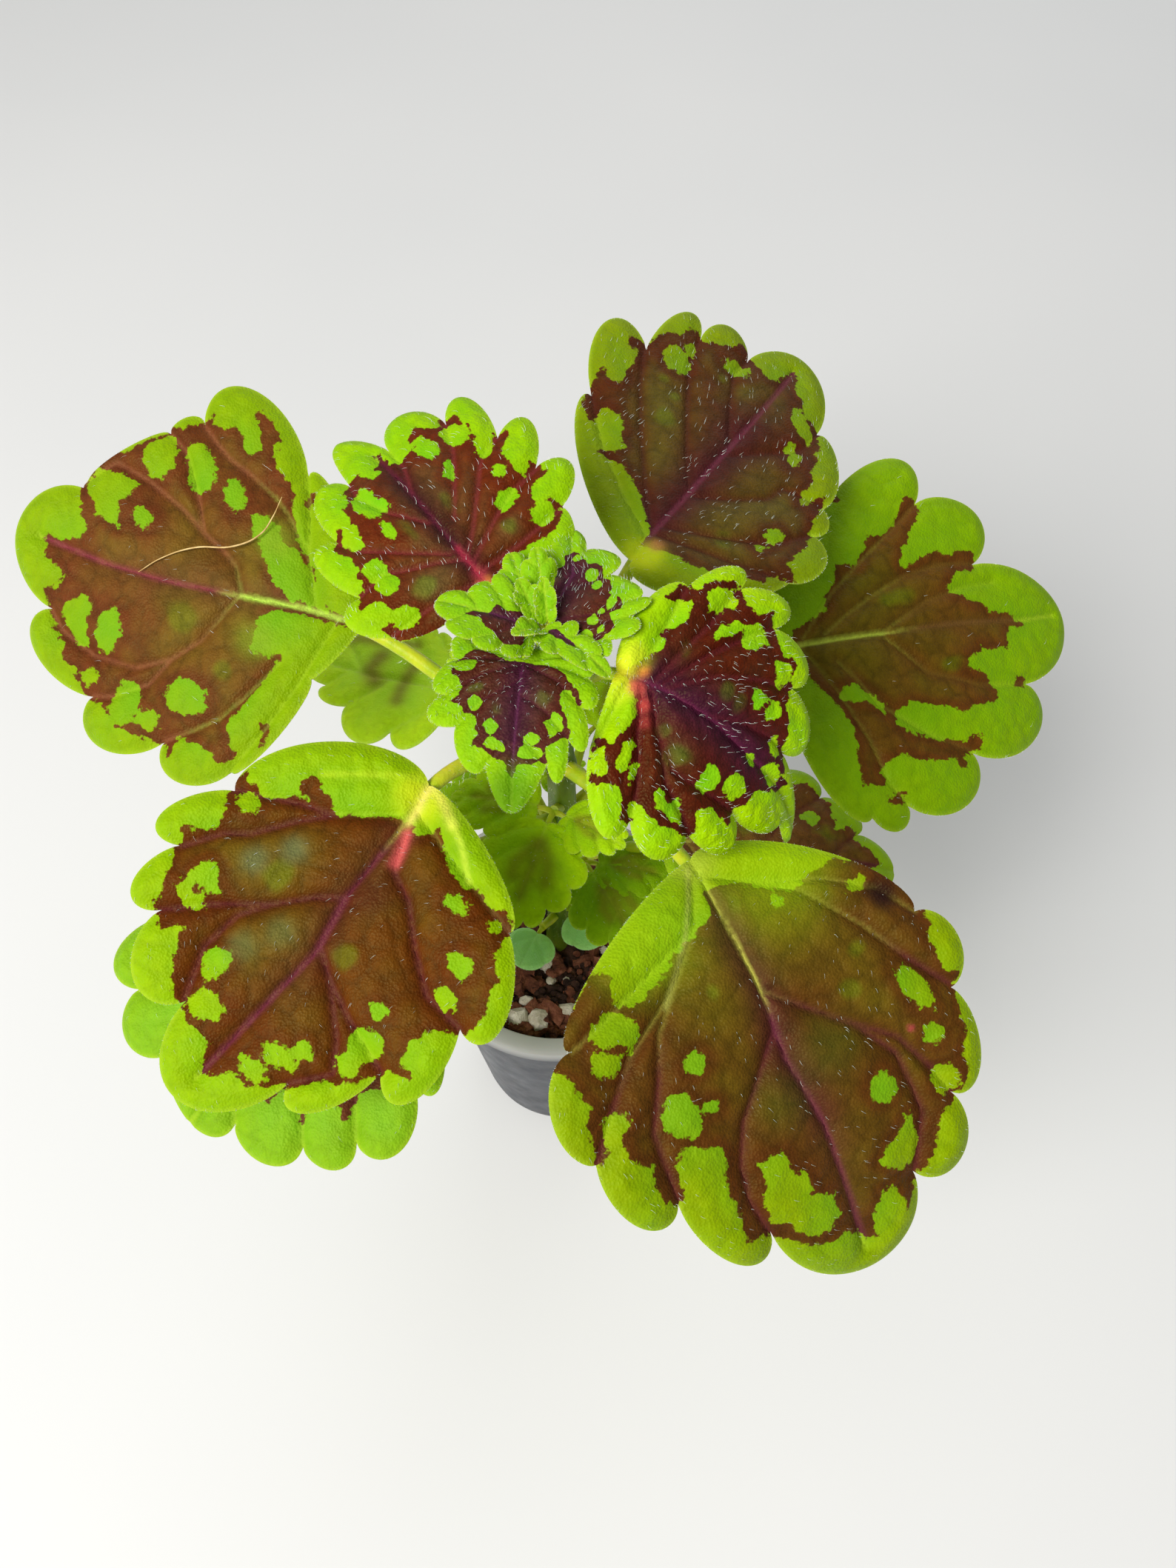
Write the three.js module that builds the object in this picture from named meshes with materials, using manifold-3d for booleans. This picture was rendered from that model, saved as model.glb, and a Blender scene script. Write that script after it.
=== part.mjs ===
// A young coleus in its small nursery pot.
// Millimetres and degrees, +Z up. The origin is the centre of the pot's underside, so the pot
// stands on z = 0. The plant leans a little towards -Y.
//
// Every blade is drawn flat first, as `along` (from the petiole to the tip) and `across`
// (positive on the left of the midrib), and is then bent along its midrib and cupped across it.
import * as THREE from 'three';
import { mergeVertices } from 'three/addons/utils/BufferGeometryUtils.js';
import Module from 'manifold-3d';

const wasm = await Module();
wasm.setup();

// ---- Driving dimensions ---------------------------------------------------------------------

const GAP = 0.3; // air between two pieces that lie against each other

const POT_HEIGHT = 70;
const POT_RIM_RADIUS = 29; // outside of the lip
const POT_MOUTH_RADIUS = 25; // inside of the lip
const POT_FOOT_RADIUS = 20;
const POT_WALL = 1.2;
const POT_FLOOR = 1.6;
const POT_FACETS = 30;
const LIP_HEIGHT = 4.5;
const LIP_ROUND = 1.2;
const FOOT_ROUND = 1.5;
const DRAIN_HOLES = 6;
const DRAIN_RADIUS = 2.2;
const DRAIN_CIRCLE_RADIUS = 13;

const MIX_TOP = 64; // mean level of the potting mix
const MIX_BUMP = 0.7;
const MIX_RINGS = 4;
const MIX_SPOKES = 20;
const GRAIN_COUNT = 20; // bark chips and perlite grains that stand out of the mix
const GRAIN_SIZES = [1.4, 2.6];
const GRAIN_REACH = [5, 20]; // nearest and furthest from the pot's axis
const ROOTED_DEPTH = 16; // how deep the stem stands in the mix

const STEM_FOOT_SIDE = 5.4; // width of the square stem in the mix
const STEM_TIP_SIDE = 3.2;
const STEM_TIP_Z = 172;
const STEM_LEAN = [1.8, -8]; // how far the tip stands off the root, in X and Y
const STEM_SWAY = 1.2;
const STEM_TURN = 40; // the flats of the square face 40, 130, 220 and 310 degrees
const CROWN_HEIGHT = 3; // from the end of the stem to the youngest leaves

const BLADE_THICKNESS = 0.8;
const LOBE_STEPS = 4;
const LOBE_ROUNDNESS = 0.55; // exponent of a lobe's bulge: 0.5 is an ellipse
const RIB_SLANT = 0.55; // how far a side rib sweeps forward, per mm across
const RING_SHARE = 0.78; // where along a side rib the lobes begin
const TIP_RING_SHARE = 0.93;
const MIDRIB_SHARE = 0.62; // how far along the blade the midrib stays raised
// Radii at the stem, where the petiole meets the blade, and at the end of the raised midrib.
const PETIOLE_RADII = [1.5, 1.2, 0.5];
const SMALL_PETIOLE_RADII = [1, 0.8, 0.45];
const SHOOT_PETIOLE_RADII = [0.7, 0.6, 0.45];
const SHOOT_STALK_RADIUS = 1;
const SPRAY_DETAIL = { steps: 3, petioleSteps: 3, petioleSides: 5 };

// ---- Leaf outlines and places ---------------------------------------------------------------

// The outline of a leaf whose lobes are all of one kind, 60 mm long. `left` and `right` list
// crest, notch, crest, notch from the petiole to the tip.
const COMMON_SHAPE = {
  length: 60,
  left: [[4, 17], [14, 24], [24, 32], [30, 26], [40, 28], [42.5, 20], [52, 17.5], [52, 9.5]],
  tip: [61, 0],
  right: [[5, -18], [15, -24], [23, -31], [29, -26], [41, -27], [42, -19], [53, -16], [51, -9]],
};

// The outline of a side shoot's leaf.
const SMALL_SHAPE = {
  length: 20,
  left: [[1.5, 7], [8, 8.5], [13, 9], [14, 5.5]],
  tip: [20, 0],
  right: [[1.5, -7], [8, -8.5], [13, -9], [14, -5.5]],
};

// The outline of a seed leaf: broad, with no lobes.
const SEED_SHAPE = {
  length: 8,
  left: [[1, 4.5], [5, 4.3]],
  tip: [8, 0],
  right: [[1, -4.5], [5, -4.3]],
};

// The large leaves, from the bottom pair up. `base` is where the petiole meets the blade, and
// `node` is the height at which the petiole leaves the stem.
const LEAVES = [
  {
    name: 'leaf_pair_1_back', node: 101, base: [-19, 27, 116], heading: 163,
    length: 33, droop: 20, cup: -1,
    left: [[2.5, 13], [9, 11.5], [15.5, 15], [20.5, 7.5], [26.5, 6.5], [27, 3]],
    tip: [34.5, -3.5],
    right: [[3, -10], [9, -14], [15, -18], [18, -15], [26, -16], [28, -9]],
  },
  {
    name: 'leaf_pair_1_front', node: 101, base: [20, -7, 118], heading: -3,
    length: 42, pitch: -2, droop: 15, roll: -6, cup: -1, shape: COMMON_SHAPE,
  },
  {
    name: 'leaf_pair_2_front', node: 119, base: [-24, -24, 134], heading: -130,
    length: 46, pitch: -6, droop: 20, roll: -4, cup: -1,
    left: [
      [4, 14.5], [11, 19], [18, 26.5], [21, 23.5], [29.5, 28],
      [33, 22], [38, 22], [38.5, 16], [44, 13], [42.5, 5.5],
    ],
    tip: [47, -0.5],
    right: [
      [4, -15], [12, -21.5], [20, -27.5], [25.5, -24.5],
      [35.5, -28.5], [37.5, -21], [44.5, -17.5], [41.5, -10],
    ],
  },
  {
    name: 'leaf_pair_2_back', node: 119, base: [39, 16.5, 142], heading: 16,
    length: 62, pitch: -3, droop: 20, roll: 20, twist: 9, cup: -1,
    left: [[4, 14], [12, 20], [28, 32.5], [32.5, 23.5], [44, 21.5], [41.5, 11.5]],
    tip: [60.5, 2.5],
    right: [
      [-0.5, -20.5], [9, -31.5], [14, -34.5], [17, -30.5],
      [30, -32], [33.5, -23], [49.5, -21.5], [49.5, -11],
    ],
  },
  {
    name: 'leaf_pair_3_back', node: 138, base: [-29, 9.5, 155.5], heading: 162,
    length: 62, pitch: 2, droop: 4, roll: -22, twist: -13, bend: -1, cup: -2,
    left: [
      [2, 5.5], [5, 10], [7.5, 20.5], [13.5, 27.5], [22.5, 31.5], [26.5, 26],
      [38.5, 30], [42, 22.5], [54.5, 18], [53, 10.5],
    ],
    tip: [62.5, -1],
    right: [
      [8, -16], [17, -22], [30, -33.5], [36, -25.5],
      [39, -26], [41, -22.5], [48, -17.5], [52.5, -10],
    ],
  },
  {
    name: 'leaf_pair_3_front', node: 138, base: [21, -31, 153.5], heading: -64,
    length: 64, pitch: -10, droop: 40, roll: -1, bend: 0.7, cup: 2,
    left: [
      [5, 16], [19.5, 26], [25, 30], [31, 26],
      [41.5, 26.5], [44.5, 20.5], [54, 19], [53, 11.5],
    ],
    tip: [63.5, 0.5],
    right: [
      [8, -18.5], [17, -26.5], [23, -32.5], [31, -29.5],
      [40.5, -27.5], [40.5, -21.5], [52, -17], [50.5, -11],
    ],
  },
  {
    name: 'leaf_pair_4_front', node: 151, base: [-16, -20.5, 156.5], heading: -127,
    length: 55, pitch: -16, droop: 8, roll: -9, twist: -5, bend: -3, cup: 1,
    left: [
      [3.5, 14], [10.5, 22], [21, 29], [25, 24.5],
      [36.5, 25.5], [36, 19.5], [46, 15.5], [44.5, 10.5],
    ],
    tip: [55, 0],
    right: [
      [3, -15.5], [16.5, -22], [24.5, -28], [27, -23],
      [35, -24.5], [35.5, -19], [45, -16], [43.5, -8],
    ],
  },
  {
    name: 'leaf_pair_4_back', node: 151, base: [15.5, 19, 164], heading: 55,
    length: 55.5, droop: 4, roll: 5, twist: 14, bend: 2, cup: 1,
    left: [
      [7, 17.5], [19.5, 24], [33, 31], [34, 22.5],
      [45.5, 22], [42.5, 16.5], [49.5, 14.5], [46, 8],
    ],
    tip: [54.5, -1],
    right: [
      [2, -15], [8.5, -21.5], [15.5, -24.5], [20.5, -19.5],
      [24, -21], [27, -18], [37, -16.5], [42, -9.5],
    ],
  },
  {
    name: 'leaf_pair_5_back', node: 160, base: [-7, 0.5, 174], heading: 130,
    length: 40, pitch: 18, droop: 38, roll: -12, twist: -5, bend: 1.8, cup: -1,
    left: [
      [0, 9.5], [3, 14.5], [9, 18.5], [11.5, 14.5],
      [22, 15.5], [22, 11], [33.5, 7.5], [29.5, 3],
    ],
    tip: [39, -1.5],
    right: [
      [0, -10], [4, -16], [8.5, -21.5], [11, -17], [18, -22], [18.5, -16.5],
      [28.5, -19], [26.5, -13.5], [34.5, -11], [30, -5],
    ],
  },
  {
    name: 'leaf_pair_5_front', node: 160, base: [10.5, -14.5, 175], heading: -19,
    length: 40, pitch: -6, droop: 70, roll: 17, twist: 4, bend: -1.8, cup: -1,
    left: [
      [0, 10], [4.5, 15], [8.5, 21], [10.5, 18.5], [16.5, 21], [16.5, 16.5],
      [23, 16], [22.5, 11.5], [29.5, 9], [27, 4],
    ],
    tip: [39.5, 0],
    right: [
      [0, -6], [0.5, -12], [6, -20.5], [10.5, -17.5], [17.5, -20], [20.5, -14.5],
      [29, -12], [25, -7.5], [31.5, -6.5], [35, -2],
    ],
  },
  {
    name: 'leaf_pair_6_front', node: 167, base: [-2, -12, 174.2], heading: -94,
    length: 21, pitch: 4, droop: 35, roll: 6, cup: -0.5, radii: SMALL_PETIOLE_RADII,
    left: [[0, 5.5], [3, 9], [6.5, 10.5], [7.5, 8.5], [13, 9.5], [12, 7], [17.5, 6.5], [15.5, 4.5]],
    tip: [21, 0],
    right: [[0, -8], [3, -9.5], [9, -12], [10.5, -8], [16, -6.5], [16, -3.5]],
  },
  {
    name: 'leaf_pair_6_back', node: 167, base: [4, -4.5, 177], heading: 78,
    length: 15, pitch: 10, droop: 20, cup: 1, radii: SMALL_PETIOLE_RADII,
    left: [[0.5, 5], [4, 5.5], [7.5, 7.5], [8, 5], [12, 5], [11.5, 2.5]],
    tip: [15, 0],
    right: [[0, -5.5], [3, -6.5], [6, -9], [7, -6], [11, -6], [11, -2.5]],
  },
];

// Sprays of small leaves: the height at which the stalk leaves the stem, where the stalk ends,
// and each leaf as heading, length and pitch.
const SIDE_SHOOTS = [
  {
    name: 'side_shoot_1_front', node: 106, end: [6, -8, 112],
    leaves: [[-60, 17, 5], [-150, 10, 20]],
  },
  {
    name: 'side_shoot_1_back', node: 106, end: [-4, 6, 116],
    leaves: [[95, 15, 15], [15, 9, 30], [195, 11, 25]],
  },
  {
    name: 'side_shoot_2_front', node: 123, end: [1, -9, 131],
    leaves: [[-108, 19, 5], [-35, 12, 20], [165, 10, 30]],
  },
  {
    name: 'side_shoot_2_back', node: 123, end: [6, 5, 132],
    leaves: [[50, 14, 20], [130, 10, 30]],
  },
  {
    name: 'side_shoot_3_back', node: 142, end: [-4, 1, 149],
    leaves: [[150, 11, 30], [60, 8, 40]],
  },
];
const SEED_LEAVES = [
  { name: 'seed_leaf_left', node: 79, end: [-2.5, -7, 82], leaves: [[-118, 9, 0]] },
  { name: 'seed_leaf_right', node: 81, end: [4, -4, 84], leaves: [[-52, 9, 0]] },
];
const CROWN_LEAVES = [[157, 13, 14], [-33, 9, 30], [190, 5, 70], [-110, 5, 60]];

// ---- Small helpers --------------------------------------------------------------------------

const radians = THREE.MathUtils.degToRad;
const mix = THREE.MathUtils.lerp;
const SIDEWAYS = new THREE.Vector3(1, 0, 0);

function seededRandom(seed) {
  let state = seed;
  return () => {
    state = (state * 16807) % 2147483647;
    return state / 2147483647;
  };
}

function toSolid(geometry) {
  const bare = new THREE.BufferGeometry();
  bare.setAttribute('position', geometry.getAttribute('position'));
  if (geometry.index) bare.setIndex(geometry.index);
  const merged = mergeVertices(bare, 1e-4);
  const triVerts = [];
  for (let i = 0; i < merged.index.count; i += 3) {
    const [a, b, c] = merged.index.array.slice(i, i + 3);
    if (a !== b && b !== c && c !== a) triVerts.push(a, b, c);
  }
  return new wasm.Manifold(
    new wasm.Mesh({
      numProp: 3,
      vertProperties: new Float32Array(merged.getAttribute('position').array),
      triVerts: new Uint32Array(triVerts),
    }),
  );
}

function toGeometry(solid) {
  const { vertProperties, triVerts } = solid.getMesh();
  const geometry = new THREE.BufferGeometry();
  geometry.setAttribute('position', new THREE.BufferAttribute(vertProperties, 3));
  geometry.setIndex(new THREE.BufferAttribute(triVerts, 1));
  geometry.computeVertexNormals();
  return geometry;
}

// Fusing can seal a hollow or leave a scrap: both come apart as smaller bodies, and go.
function largestBody(solid) {
  return solid.decompose().sort((a, b) => b.volume() - a.volume())[0];
}

function geometryOf(points, triangles) {
  const geometry = new THREE.BufferGeometry();
  geometry.setAttribute('position', new THREE.Float32BufferAttribute(points.flat(), 3));
  geometry.setIndex(triangles.flat());
  return geometry;
}

function named(name, solid, color, roughness) {
  const material = new THREE.MeshStandardMaterial({ color, roughness });
  const mesh = new THREE.Mesh(toGeometry(largestBody(solid)), material);
  mesh.name = name;
  return mesh;
}

// A closed tube along a curve. `sectionAt(t)` gives the section's corners, anticlockwise as
// seen from the end of the curve, and `sideways` is about the direction of the section's x.
function sweptTube(curve, steps, sectionAt, sideways) {
  const points = [];
  const triangles = [];
  const corners = sectionAt(0).length;
  for (let i = 0; i <= steps; i += 1) {
    const centre = curve.getPointAt(i / steps);
    const ahead = curve.getTangentAt(i / steps);
    const up = new THREE.Vector3().crossVectors(ahead, sideways).normalize();
    const side = new THREE.Vector3().crossVectors(up, ahead).normalize();
    for (const [x, y] of sectionAt(i / steps)) {
      points.push(centre.clone().addScaledVector(side, x).addScaledVector(up, y).toArray());
    }
  }
  const last = steps * corners;
  for (let i = 0; i < steps; i += 1) {
    for (let j = 0; j < corners; j += 1) {
      const a = i * corners + j;
      const b = i * corners + ((j + 1) % corners);
      triangles.push([a, b, b + corners], [a, b + corners, a + corners]);
    }
  }
  for (let j = 1; j < corners - 1; j += 1) {
    triangles.push([0, j + 1, j], [last, last + j, last + j + 1]);
  }
  return toSolid(geometryOf(points, triangles));
}

function roundSection(radius, corners) {
  return Array.from({ length: corners }, (_, j) => {
    const angle = (2 * Math.PI * j) / corners;
    return [radius * Math.cos(angle), radius * Math.sin(angle)];
  });
}

// A square with its corners cut off.
function squareSection(side, turn) {
  const half = side / 2;
  const cut = side / 5;
  const corners = [];
  for (let quarter = 0; quarter < 4; quarter += 1) {
    const angle = turn + (quarter * Math.PI) / 2;
    for (const [x, y] of [[half, -half + cut], [half, half - cut]]) {
      corners.push([
        x * Math.cos(angle) - y * Math.sin(angle),
        x * Math.sin(angle) + y * Math.cos(angle),
      ]);
    }
  }
  return corners;
}

// ---- Pot and potting mix --------------------------------------------------------------------

function potInsideRadius(z) {
  const share = (z - POT_FLOOR) / (POT_HEIGHT - POT_FLOOR);
  return mix(POT_FOOT_RADIUS - POT_WALL, POT_MOUTH_RADIUS, share);
}

// The mix stays clear of the middles of the pot's flat facets.
function mixRadius(z) {
  return potInsideRadius(z) * Math.cos(Math.PI / POT_FACETS) - GAP;
}

function makePot() {
  const lipFoot = POT_HEIGHT - LIP_HEIGHT;
  const profile = [
    [0, 0],
    [POT_FOOT_RADIUS - FOOT_ROUND, 0],
    [POT_FOOT_RADIUS - FOOT_ROUND * 0.3, FOOT_ROUND * 0.3],
    [POT_FOOT_RADIUS, FOOT_ROUND],
    [potInsideRadius(lipFoot) + POT_WALL, lipFoot],
    [POT_RIM_RADIUS - LIP_ROUND * 0.6, lipFoot],
    [POT_RIM_RADIUS, lipFoot + LIP_ROUND],
    [POT_RIM_RADIUS, POT_HEIGHT - LIP_ROUND],
    [POT_RIM_RADIUS - LIP_ROUND * 0.3, POT_HEIGHT - LIP_ROUND * 0.3],
    [POT_RIM_RADIUS - LIP_ROUND, POT_HEIGHT],
    [POT_MOUTH_RADIUS + LIP_ROUND * 0.6, POT_HEIGHT],
    [POT_MOUTH_RADIUS, POT_HEIGHT - LIP_ROUND * 0.6],
    [potInsideRadius(POT_FLOOR), POT_FLOOR],
    [0, POT_FLOOR],
  ].map(([radius, z]) => new THREE.Vector2(radius, z));
  const shell = new THREE.LatheGeometry(profile, POT_FACETS);
  shell.rotateX(Math.PI / 2);
  let pot = toSolid(shell);
  for (let i = 0; i < DRAIN_HOLES; i += 1) {
    const angle = (2 * Math.PI * i) / DRAIN_HOLES;
    const drill = new THREE.CylinderGeometry(DRAIN_RADIUS, DRAIN_RADIUS, POT_FLOOR * 4, 10);
    drill.rotateX(Math.PI / 2);
    drill.translate(
      DRAIN_CIRCLE_RADIUS * Math.cos(angle),
      DRAIN_CIRCLE_RADIUS * Math.sin(angle),
      POT_FLOOR / 2,
    );
    pot = pot.subtract(toSolid(drill));
  }
  return named('pot', pot, 0x8d8f95, 0.3);
}

function mixLevel(x, y) {
  const bumps = Math.sin(x * 0.9 + 1) * Math.cos(y * 0.8) + Math.sin(x * 0.4 - y * 0.5);
  return MIX_TOP + MIX_BUMP * bumps;
}

// The mix fills the pot and has an uneven top.
function mixBody() {
  const foot = POT_FLOOR + GAP;
  const circle = (radius, levelAt) =>
    roundSection(radius, MIX_SPOKES).map(([x, y]) => [x, y, levelAt(x, y)]);
  const edge = mixRadius(MIX_TOP);
  const points = [[0, 0, mixLevel(0, 0)]];
  for (let ring = 1; ring < MIX_RINGS; ring += 1) {
    points.push(...circle((edge * ring) / MIX_RINGS, mixLevel));
  }
  points.push(...circle(edge, () => MIX_TOP - MIX_BUMP));
  points.push(...circle(mixRadius(foot), () => foot), [0, 0, foot]);
  const footRing = 1 + MIX_RINGS * MIX_SPOKES;
  const footCentre = points.length - 1;
  const triangles = [];
  for (let spoke = 0; spoke < MIX_SPOKES; spoke += 1) {
    const next = (spoke + 1) % MIX_SPOKES;
    triangles.push([0, 1 + spoke, 1 + next]);
    for (let ring = 0; ring < MIX_RINGS; ring += 1) {
      const inner = 1 + ring * MIX_SPOKES;
      const outer = inner + MIX_SPOKES;
      triangles.push([inner + spoke, outer + spoke, outer + next]);
      triangles.push([inner + spoke, outer + next, inner + next]);
    }
    triangles.push([footCentre, footRing + next, footRing + spoke]);
  }
  return toSolid(geometryOf(points, triangles));
}

function makeMix(stemSleeve) {
  const random = seededRandom(11);
  let mixture = mixBody();
  for (let i = 0; i < GRAIN_COUNT; i += 1) {
    const reach = mix(GRAIN_REACH[0], GRAIN_REACH[1], Math.sqrt(random()));
    const angle = 2 * Math.PI * random();
    const size = mix(GRAIN_SIZES[0], GRAIN_SIZES[1], random());
    const [x, y] = [reach * Math.cos(angle), reach * Math.sin(angle)];
    const grain = new THREE.IcosahedronGeometry(size, 0);
    grain.scale(1, mix(0.7, 1, random()), 0.7);
    grain.rotateZ(Math.PI * random());
    grain.translate(x, y, mixLevel(x, y) + size * 0.1);
    mixture = mixture.add(toSolid(grain));
  }
  return named('potting_mix', mixture.subtract(stemSleeve), 0x3a2418, 0.95);
}

// ---- Stem -----------------------------------------------------------------------------------

const STEM_ROOT_Z = MIX_TOP - ROOTED_DEPTH;

function stemCentre(z) {
  const share = (z - STEM_ROOT_Z) / (STEM_TIP_Z - STEM_ROOT_Z);
  const sway = Math.sin(share * Math.PI) * STEM_SWAY;
  return new THREE.Vector3(STEM_LEAN[0] * share + sway, STEM_LEAN[1] * share * share, z);
}

// The stem, grown by `clearance` on every side. Grown by the gap, it is what is cut from its
// neighbours.
function stemSolid(clearance) {
  const low = STEM_ROOT_Z - clearance;
  const high = STEM_TIP_Z + clearance;
  const levels = Array.from({ length: 9 }, (_, i) => stemCentre(mix(low, high, i / 8)));
  const turn = radians(STEM_TURN);
  const sectionAt = (t) =>
    squareSection(mix(STEM_FOOT_SIDE, STEM_TIP_SIDE, t) + 2 * clearance, turn);
  return sweptTube(new THREE.CatmullRomCurve3(levels), 10, sectionAt, SIDEWAYS);
}

// ---- Blades and petioles --------------------------------------------------------------------

// The place of a blade's point in the leaf's own frame: the petiole ends at the origin, the
// midrib runs along +X, and +Z is up. `lift` is the distance above the blade's middle surface.
function bladePoint(leaf, along, across, lift) {
  const { length, pitch = 0, droop = 0, roll = 0, twist = 0, bend = 0, cup = 0 } = leaf;
  const share = along / length;
  const start = radians(pitch);
  const turn = radians(droop);
  const slope = start - turn * share;
  const tilt = radians(roll + twist * share);
  const out = (length / turn) * (Math.sin(start) - Math.sin(slope));
  const up = (length / turn) * (Math.cos(slope) - Math.cos(start));
  const side = across + bend * share * share;
  const rise = lift + cup * (across / (length / 2)) ** 2;
  const y = side * Math.cos(tilt) - rise * Math.sin(tilt);
  const height = side * Math.sin(tilt) + rise * Math.cos(tilt);
  return [out - height * Math.sin(slope), y, up + height * Math.cos(slope)];
}

const between = (a, b, share) => [mix(a[0], b[0], share), mix(a[1], b[1], share)];

// A point of the lobe that runs from one notch to the next through its crest.
function lobePoint(from, crest, to, t) {
  const bulge = (4 * t * (1 - t)) ** LOBE_ROUNDNESS;
  const chord = between(from, to, t);
  const middle = between(from, to, 0.5);
  return [0, 1].map((k) => chord[k] + (crest[k] - middle[k]) * bulge);
}

// Where the side rib that ends at a notch leaves the midrib.
function footOf(notch) {
  return [Math.max(0.6, notch[0] - RIB_SLANT * Math.abs(notch[1])), 0];
}

function triangulated(polygon) {
  const corners = polygon.filter((p, i) => i === 0 || p.join() !== polygon[i - 1].join());
  const outline = corners.map(([x, y]) => new THREE.Vector2(x, y));
  return THREE.ShapeUtils.triangulateShape(outline, []).map((face) => face.map((k) => corners[k]));
}

// The flat blade in triangles: outside each pair of side ribs a lobe, and between the ribs two
// fields. A rib is held as its points on the margin, where the lobes begin, halfway, and on
// the midrib. The two halves of the blade share the feet of all the ribs.
function bladeTriangles(leaf) {
  const steps = leaf.steps ?? LOBE_STEPS;
  const start = [0, 0];
  const ends = [leaf.left.at(-1), leaf.right.at(-1)];
  const ringTip = leaf.tip.map((v) => v * TIP_RING_SHARE);
  const notches = [leaf.left, leaf.right].flatMap((margin) => margin.filter((_, i) => i % 2));
  const feet = notches.map(footOf).sort((a, b) => a[0] - b[0]);
  const midribFan = (from, to, apex) => {
    const line = [from, ...feet.filter(([x]) => x > from[0] && x < to[0]), to];
    return line.slice(1).map((point, i) => [line[i], point, apex]);
  };
  const triangles = [];
  [leaf.left, leaf.right].forEach((margin, which) => {
    let rib = [start, start, start, start];
    for (let i = 0; i < margin.length; i += 2) {
      const notch = margin[i + 1];
      const foot = footOf(notch);
      const next = [
        notch, between(foot, notch, RING_SHARE), between(foot, notch, RING_SHARE / 2), foot,
      ];
      const lobe = [];
      for (let step = 0; step <= steps; step += 1) {
        lobe.push(lobePoint(rib[0], margin[i], notch, step / steps));
      }
      triangles.push(...triangulated([rib[1], ...lobe, next[1]]));
      triangles.push([rib[2], rib[1], next[1]], [rib[2], next[1], next[2]]);
      triangles.push([rib[3], rib[2], next[2]], ...midribFan(rib[3], foot, next[2]));
      rib = next;
    }
    const tipLobe = [];
    for (let step = 0; step <= steps; step += 1) {
      const t = Math.abs(which - step / steps / 2);
      tipLobe.push(lobePoint(ends[0], leaf.tip, ends[1], t));
    }
    triangles.push(...triangulated([rib[1], ...tipLobe, ringTip]));
    triangles.push([rib[2], rib[1], ringTip], ...midribFan(rib[3], ringTip, rib[2]));
  });
  return triangles;
}

// The blade as one closed slab. Both faces are split into the same triangles.
function bladeSolid(leaf) {
  const flat = [];
  const numbers = new Map();
  const numberOf = (point) => {
    const key = point.map((v) => v.toFixed(4)).join();
    if (!numbers.has(key)) numbers.set(key, flat.push(point) - 1);
    return numbers.get(key);
  };
  const faces = [];
  for (const [a, b, c] of bladeTriangles(leaf)) {
    const area = (b[0] - a[0]) * (c[1] - a[1]) - (c[0] - a[0]) * (b[1] - a[1]);
    if (Math.abs(area) > 1e-6) faces.push((area > 0 ? [a, b, c] : [a, c, b]).map(numberOf));
  }
  const count = flat.length;
  const half = BLADE_THICKNESS / 2;
  const points = [
    ...flat.map(([along, across]) => bladePoint(leaf, along, across, half)),
    ...flat.map(([along, across]) => bladePoint(leaf, along, across, -half)),
  ];
  const edges = new Set(faces.flatMap(([a, b, c]) => [`${a} ${b}`, `${b} ${c}`, `${c} ${a}`]));
  const triangles = [];
  for (const [a, b, c] of faces) {
    triangles.push([a, b, c], [a + count, c + count, b + count]);
    for (const [from, to] of [[a, b], [b, c], [c, a]]) {
      if (edges.has(`${to} ${from}`)) continue;
      triangles.push([from, from + count, to + count], [from, to + count, to]);
    }
  }
  return toSolid(geometryOf(points, triangles));
}

// The petiole, which runs on under the blade as its raised midrib.
function petioleSolid(leaf, root, radii) {
  const [rootRadius, endRadius, ribRadius] = radii;
  const tail = [0, 0.3, MIDRIB_SHARE].map((share) => {
    const radius = mix(endRadius, ribRadius, share / MIDRIB_SHARE);
    return new THREE.Vector3(...bladePoint(leaf, share * leaf.length, 0, -0.7 * radius));
  });
  const arch = root.clone().lerp(tail[0], 0.5);
  arch.z += leaf.arch ?? 1.5;
  const curve = new THREE.CatmullRomCurve3([root, arch, ...tail], false, 'centripetal');
  const joint = root.distanceTo(tail[0]) / curve.getLength();
  const sectionAt = (t) => {
    const onPetiole = mix(rootRadius, endRadius, t / joint);
    const onMidrib = mix(endRadius, ribRadius, (t - joint) / (1 - joint));
    return roundSection(t < joint ? onPetiole : onMidrib, leaf.petioleSides ?? 6);
  };
  return sweptTube(curve, leaf.petioleSteps ?? 10, sectionAt, new THREE.Vector3(0, -1, 0));
}

// A leaf in its own frame. `spring` is the point that its petiole springs from, in the frame
// of the plant, and `toLeaf` leads from that frame to the leaf's own.
function leafSolid(leaf, spring, toLeaf, radii) {
  const root = spring.clone().applyMatrix4(toLeaf);
  return bladeSolid(leaf).add(petioleSolid(leaf, root, radii));
}

function plantToLeaf(leaf) {
  return new THREE.Matrix4()
    .makeTranslation(...leaf.base)
    .multiply(new THREE.Matrix4().makeRotationZ(radians(leaf.heading)))
    .invert();
}

function scaledOutline(shape, length) {
  const scaled = (point) => point.map((v) => (v * length) / shape.length);
  return { left: shape.left.map(scaled), tip: scaled(shape.tip), right: shape.right.map(scaled) };
}

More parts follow.
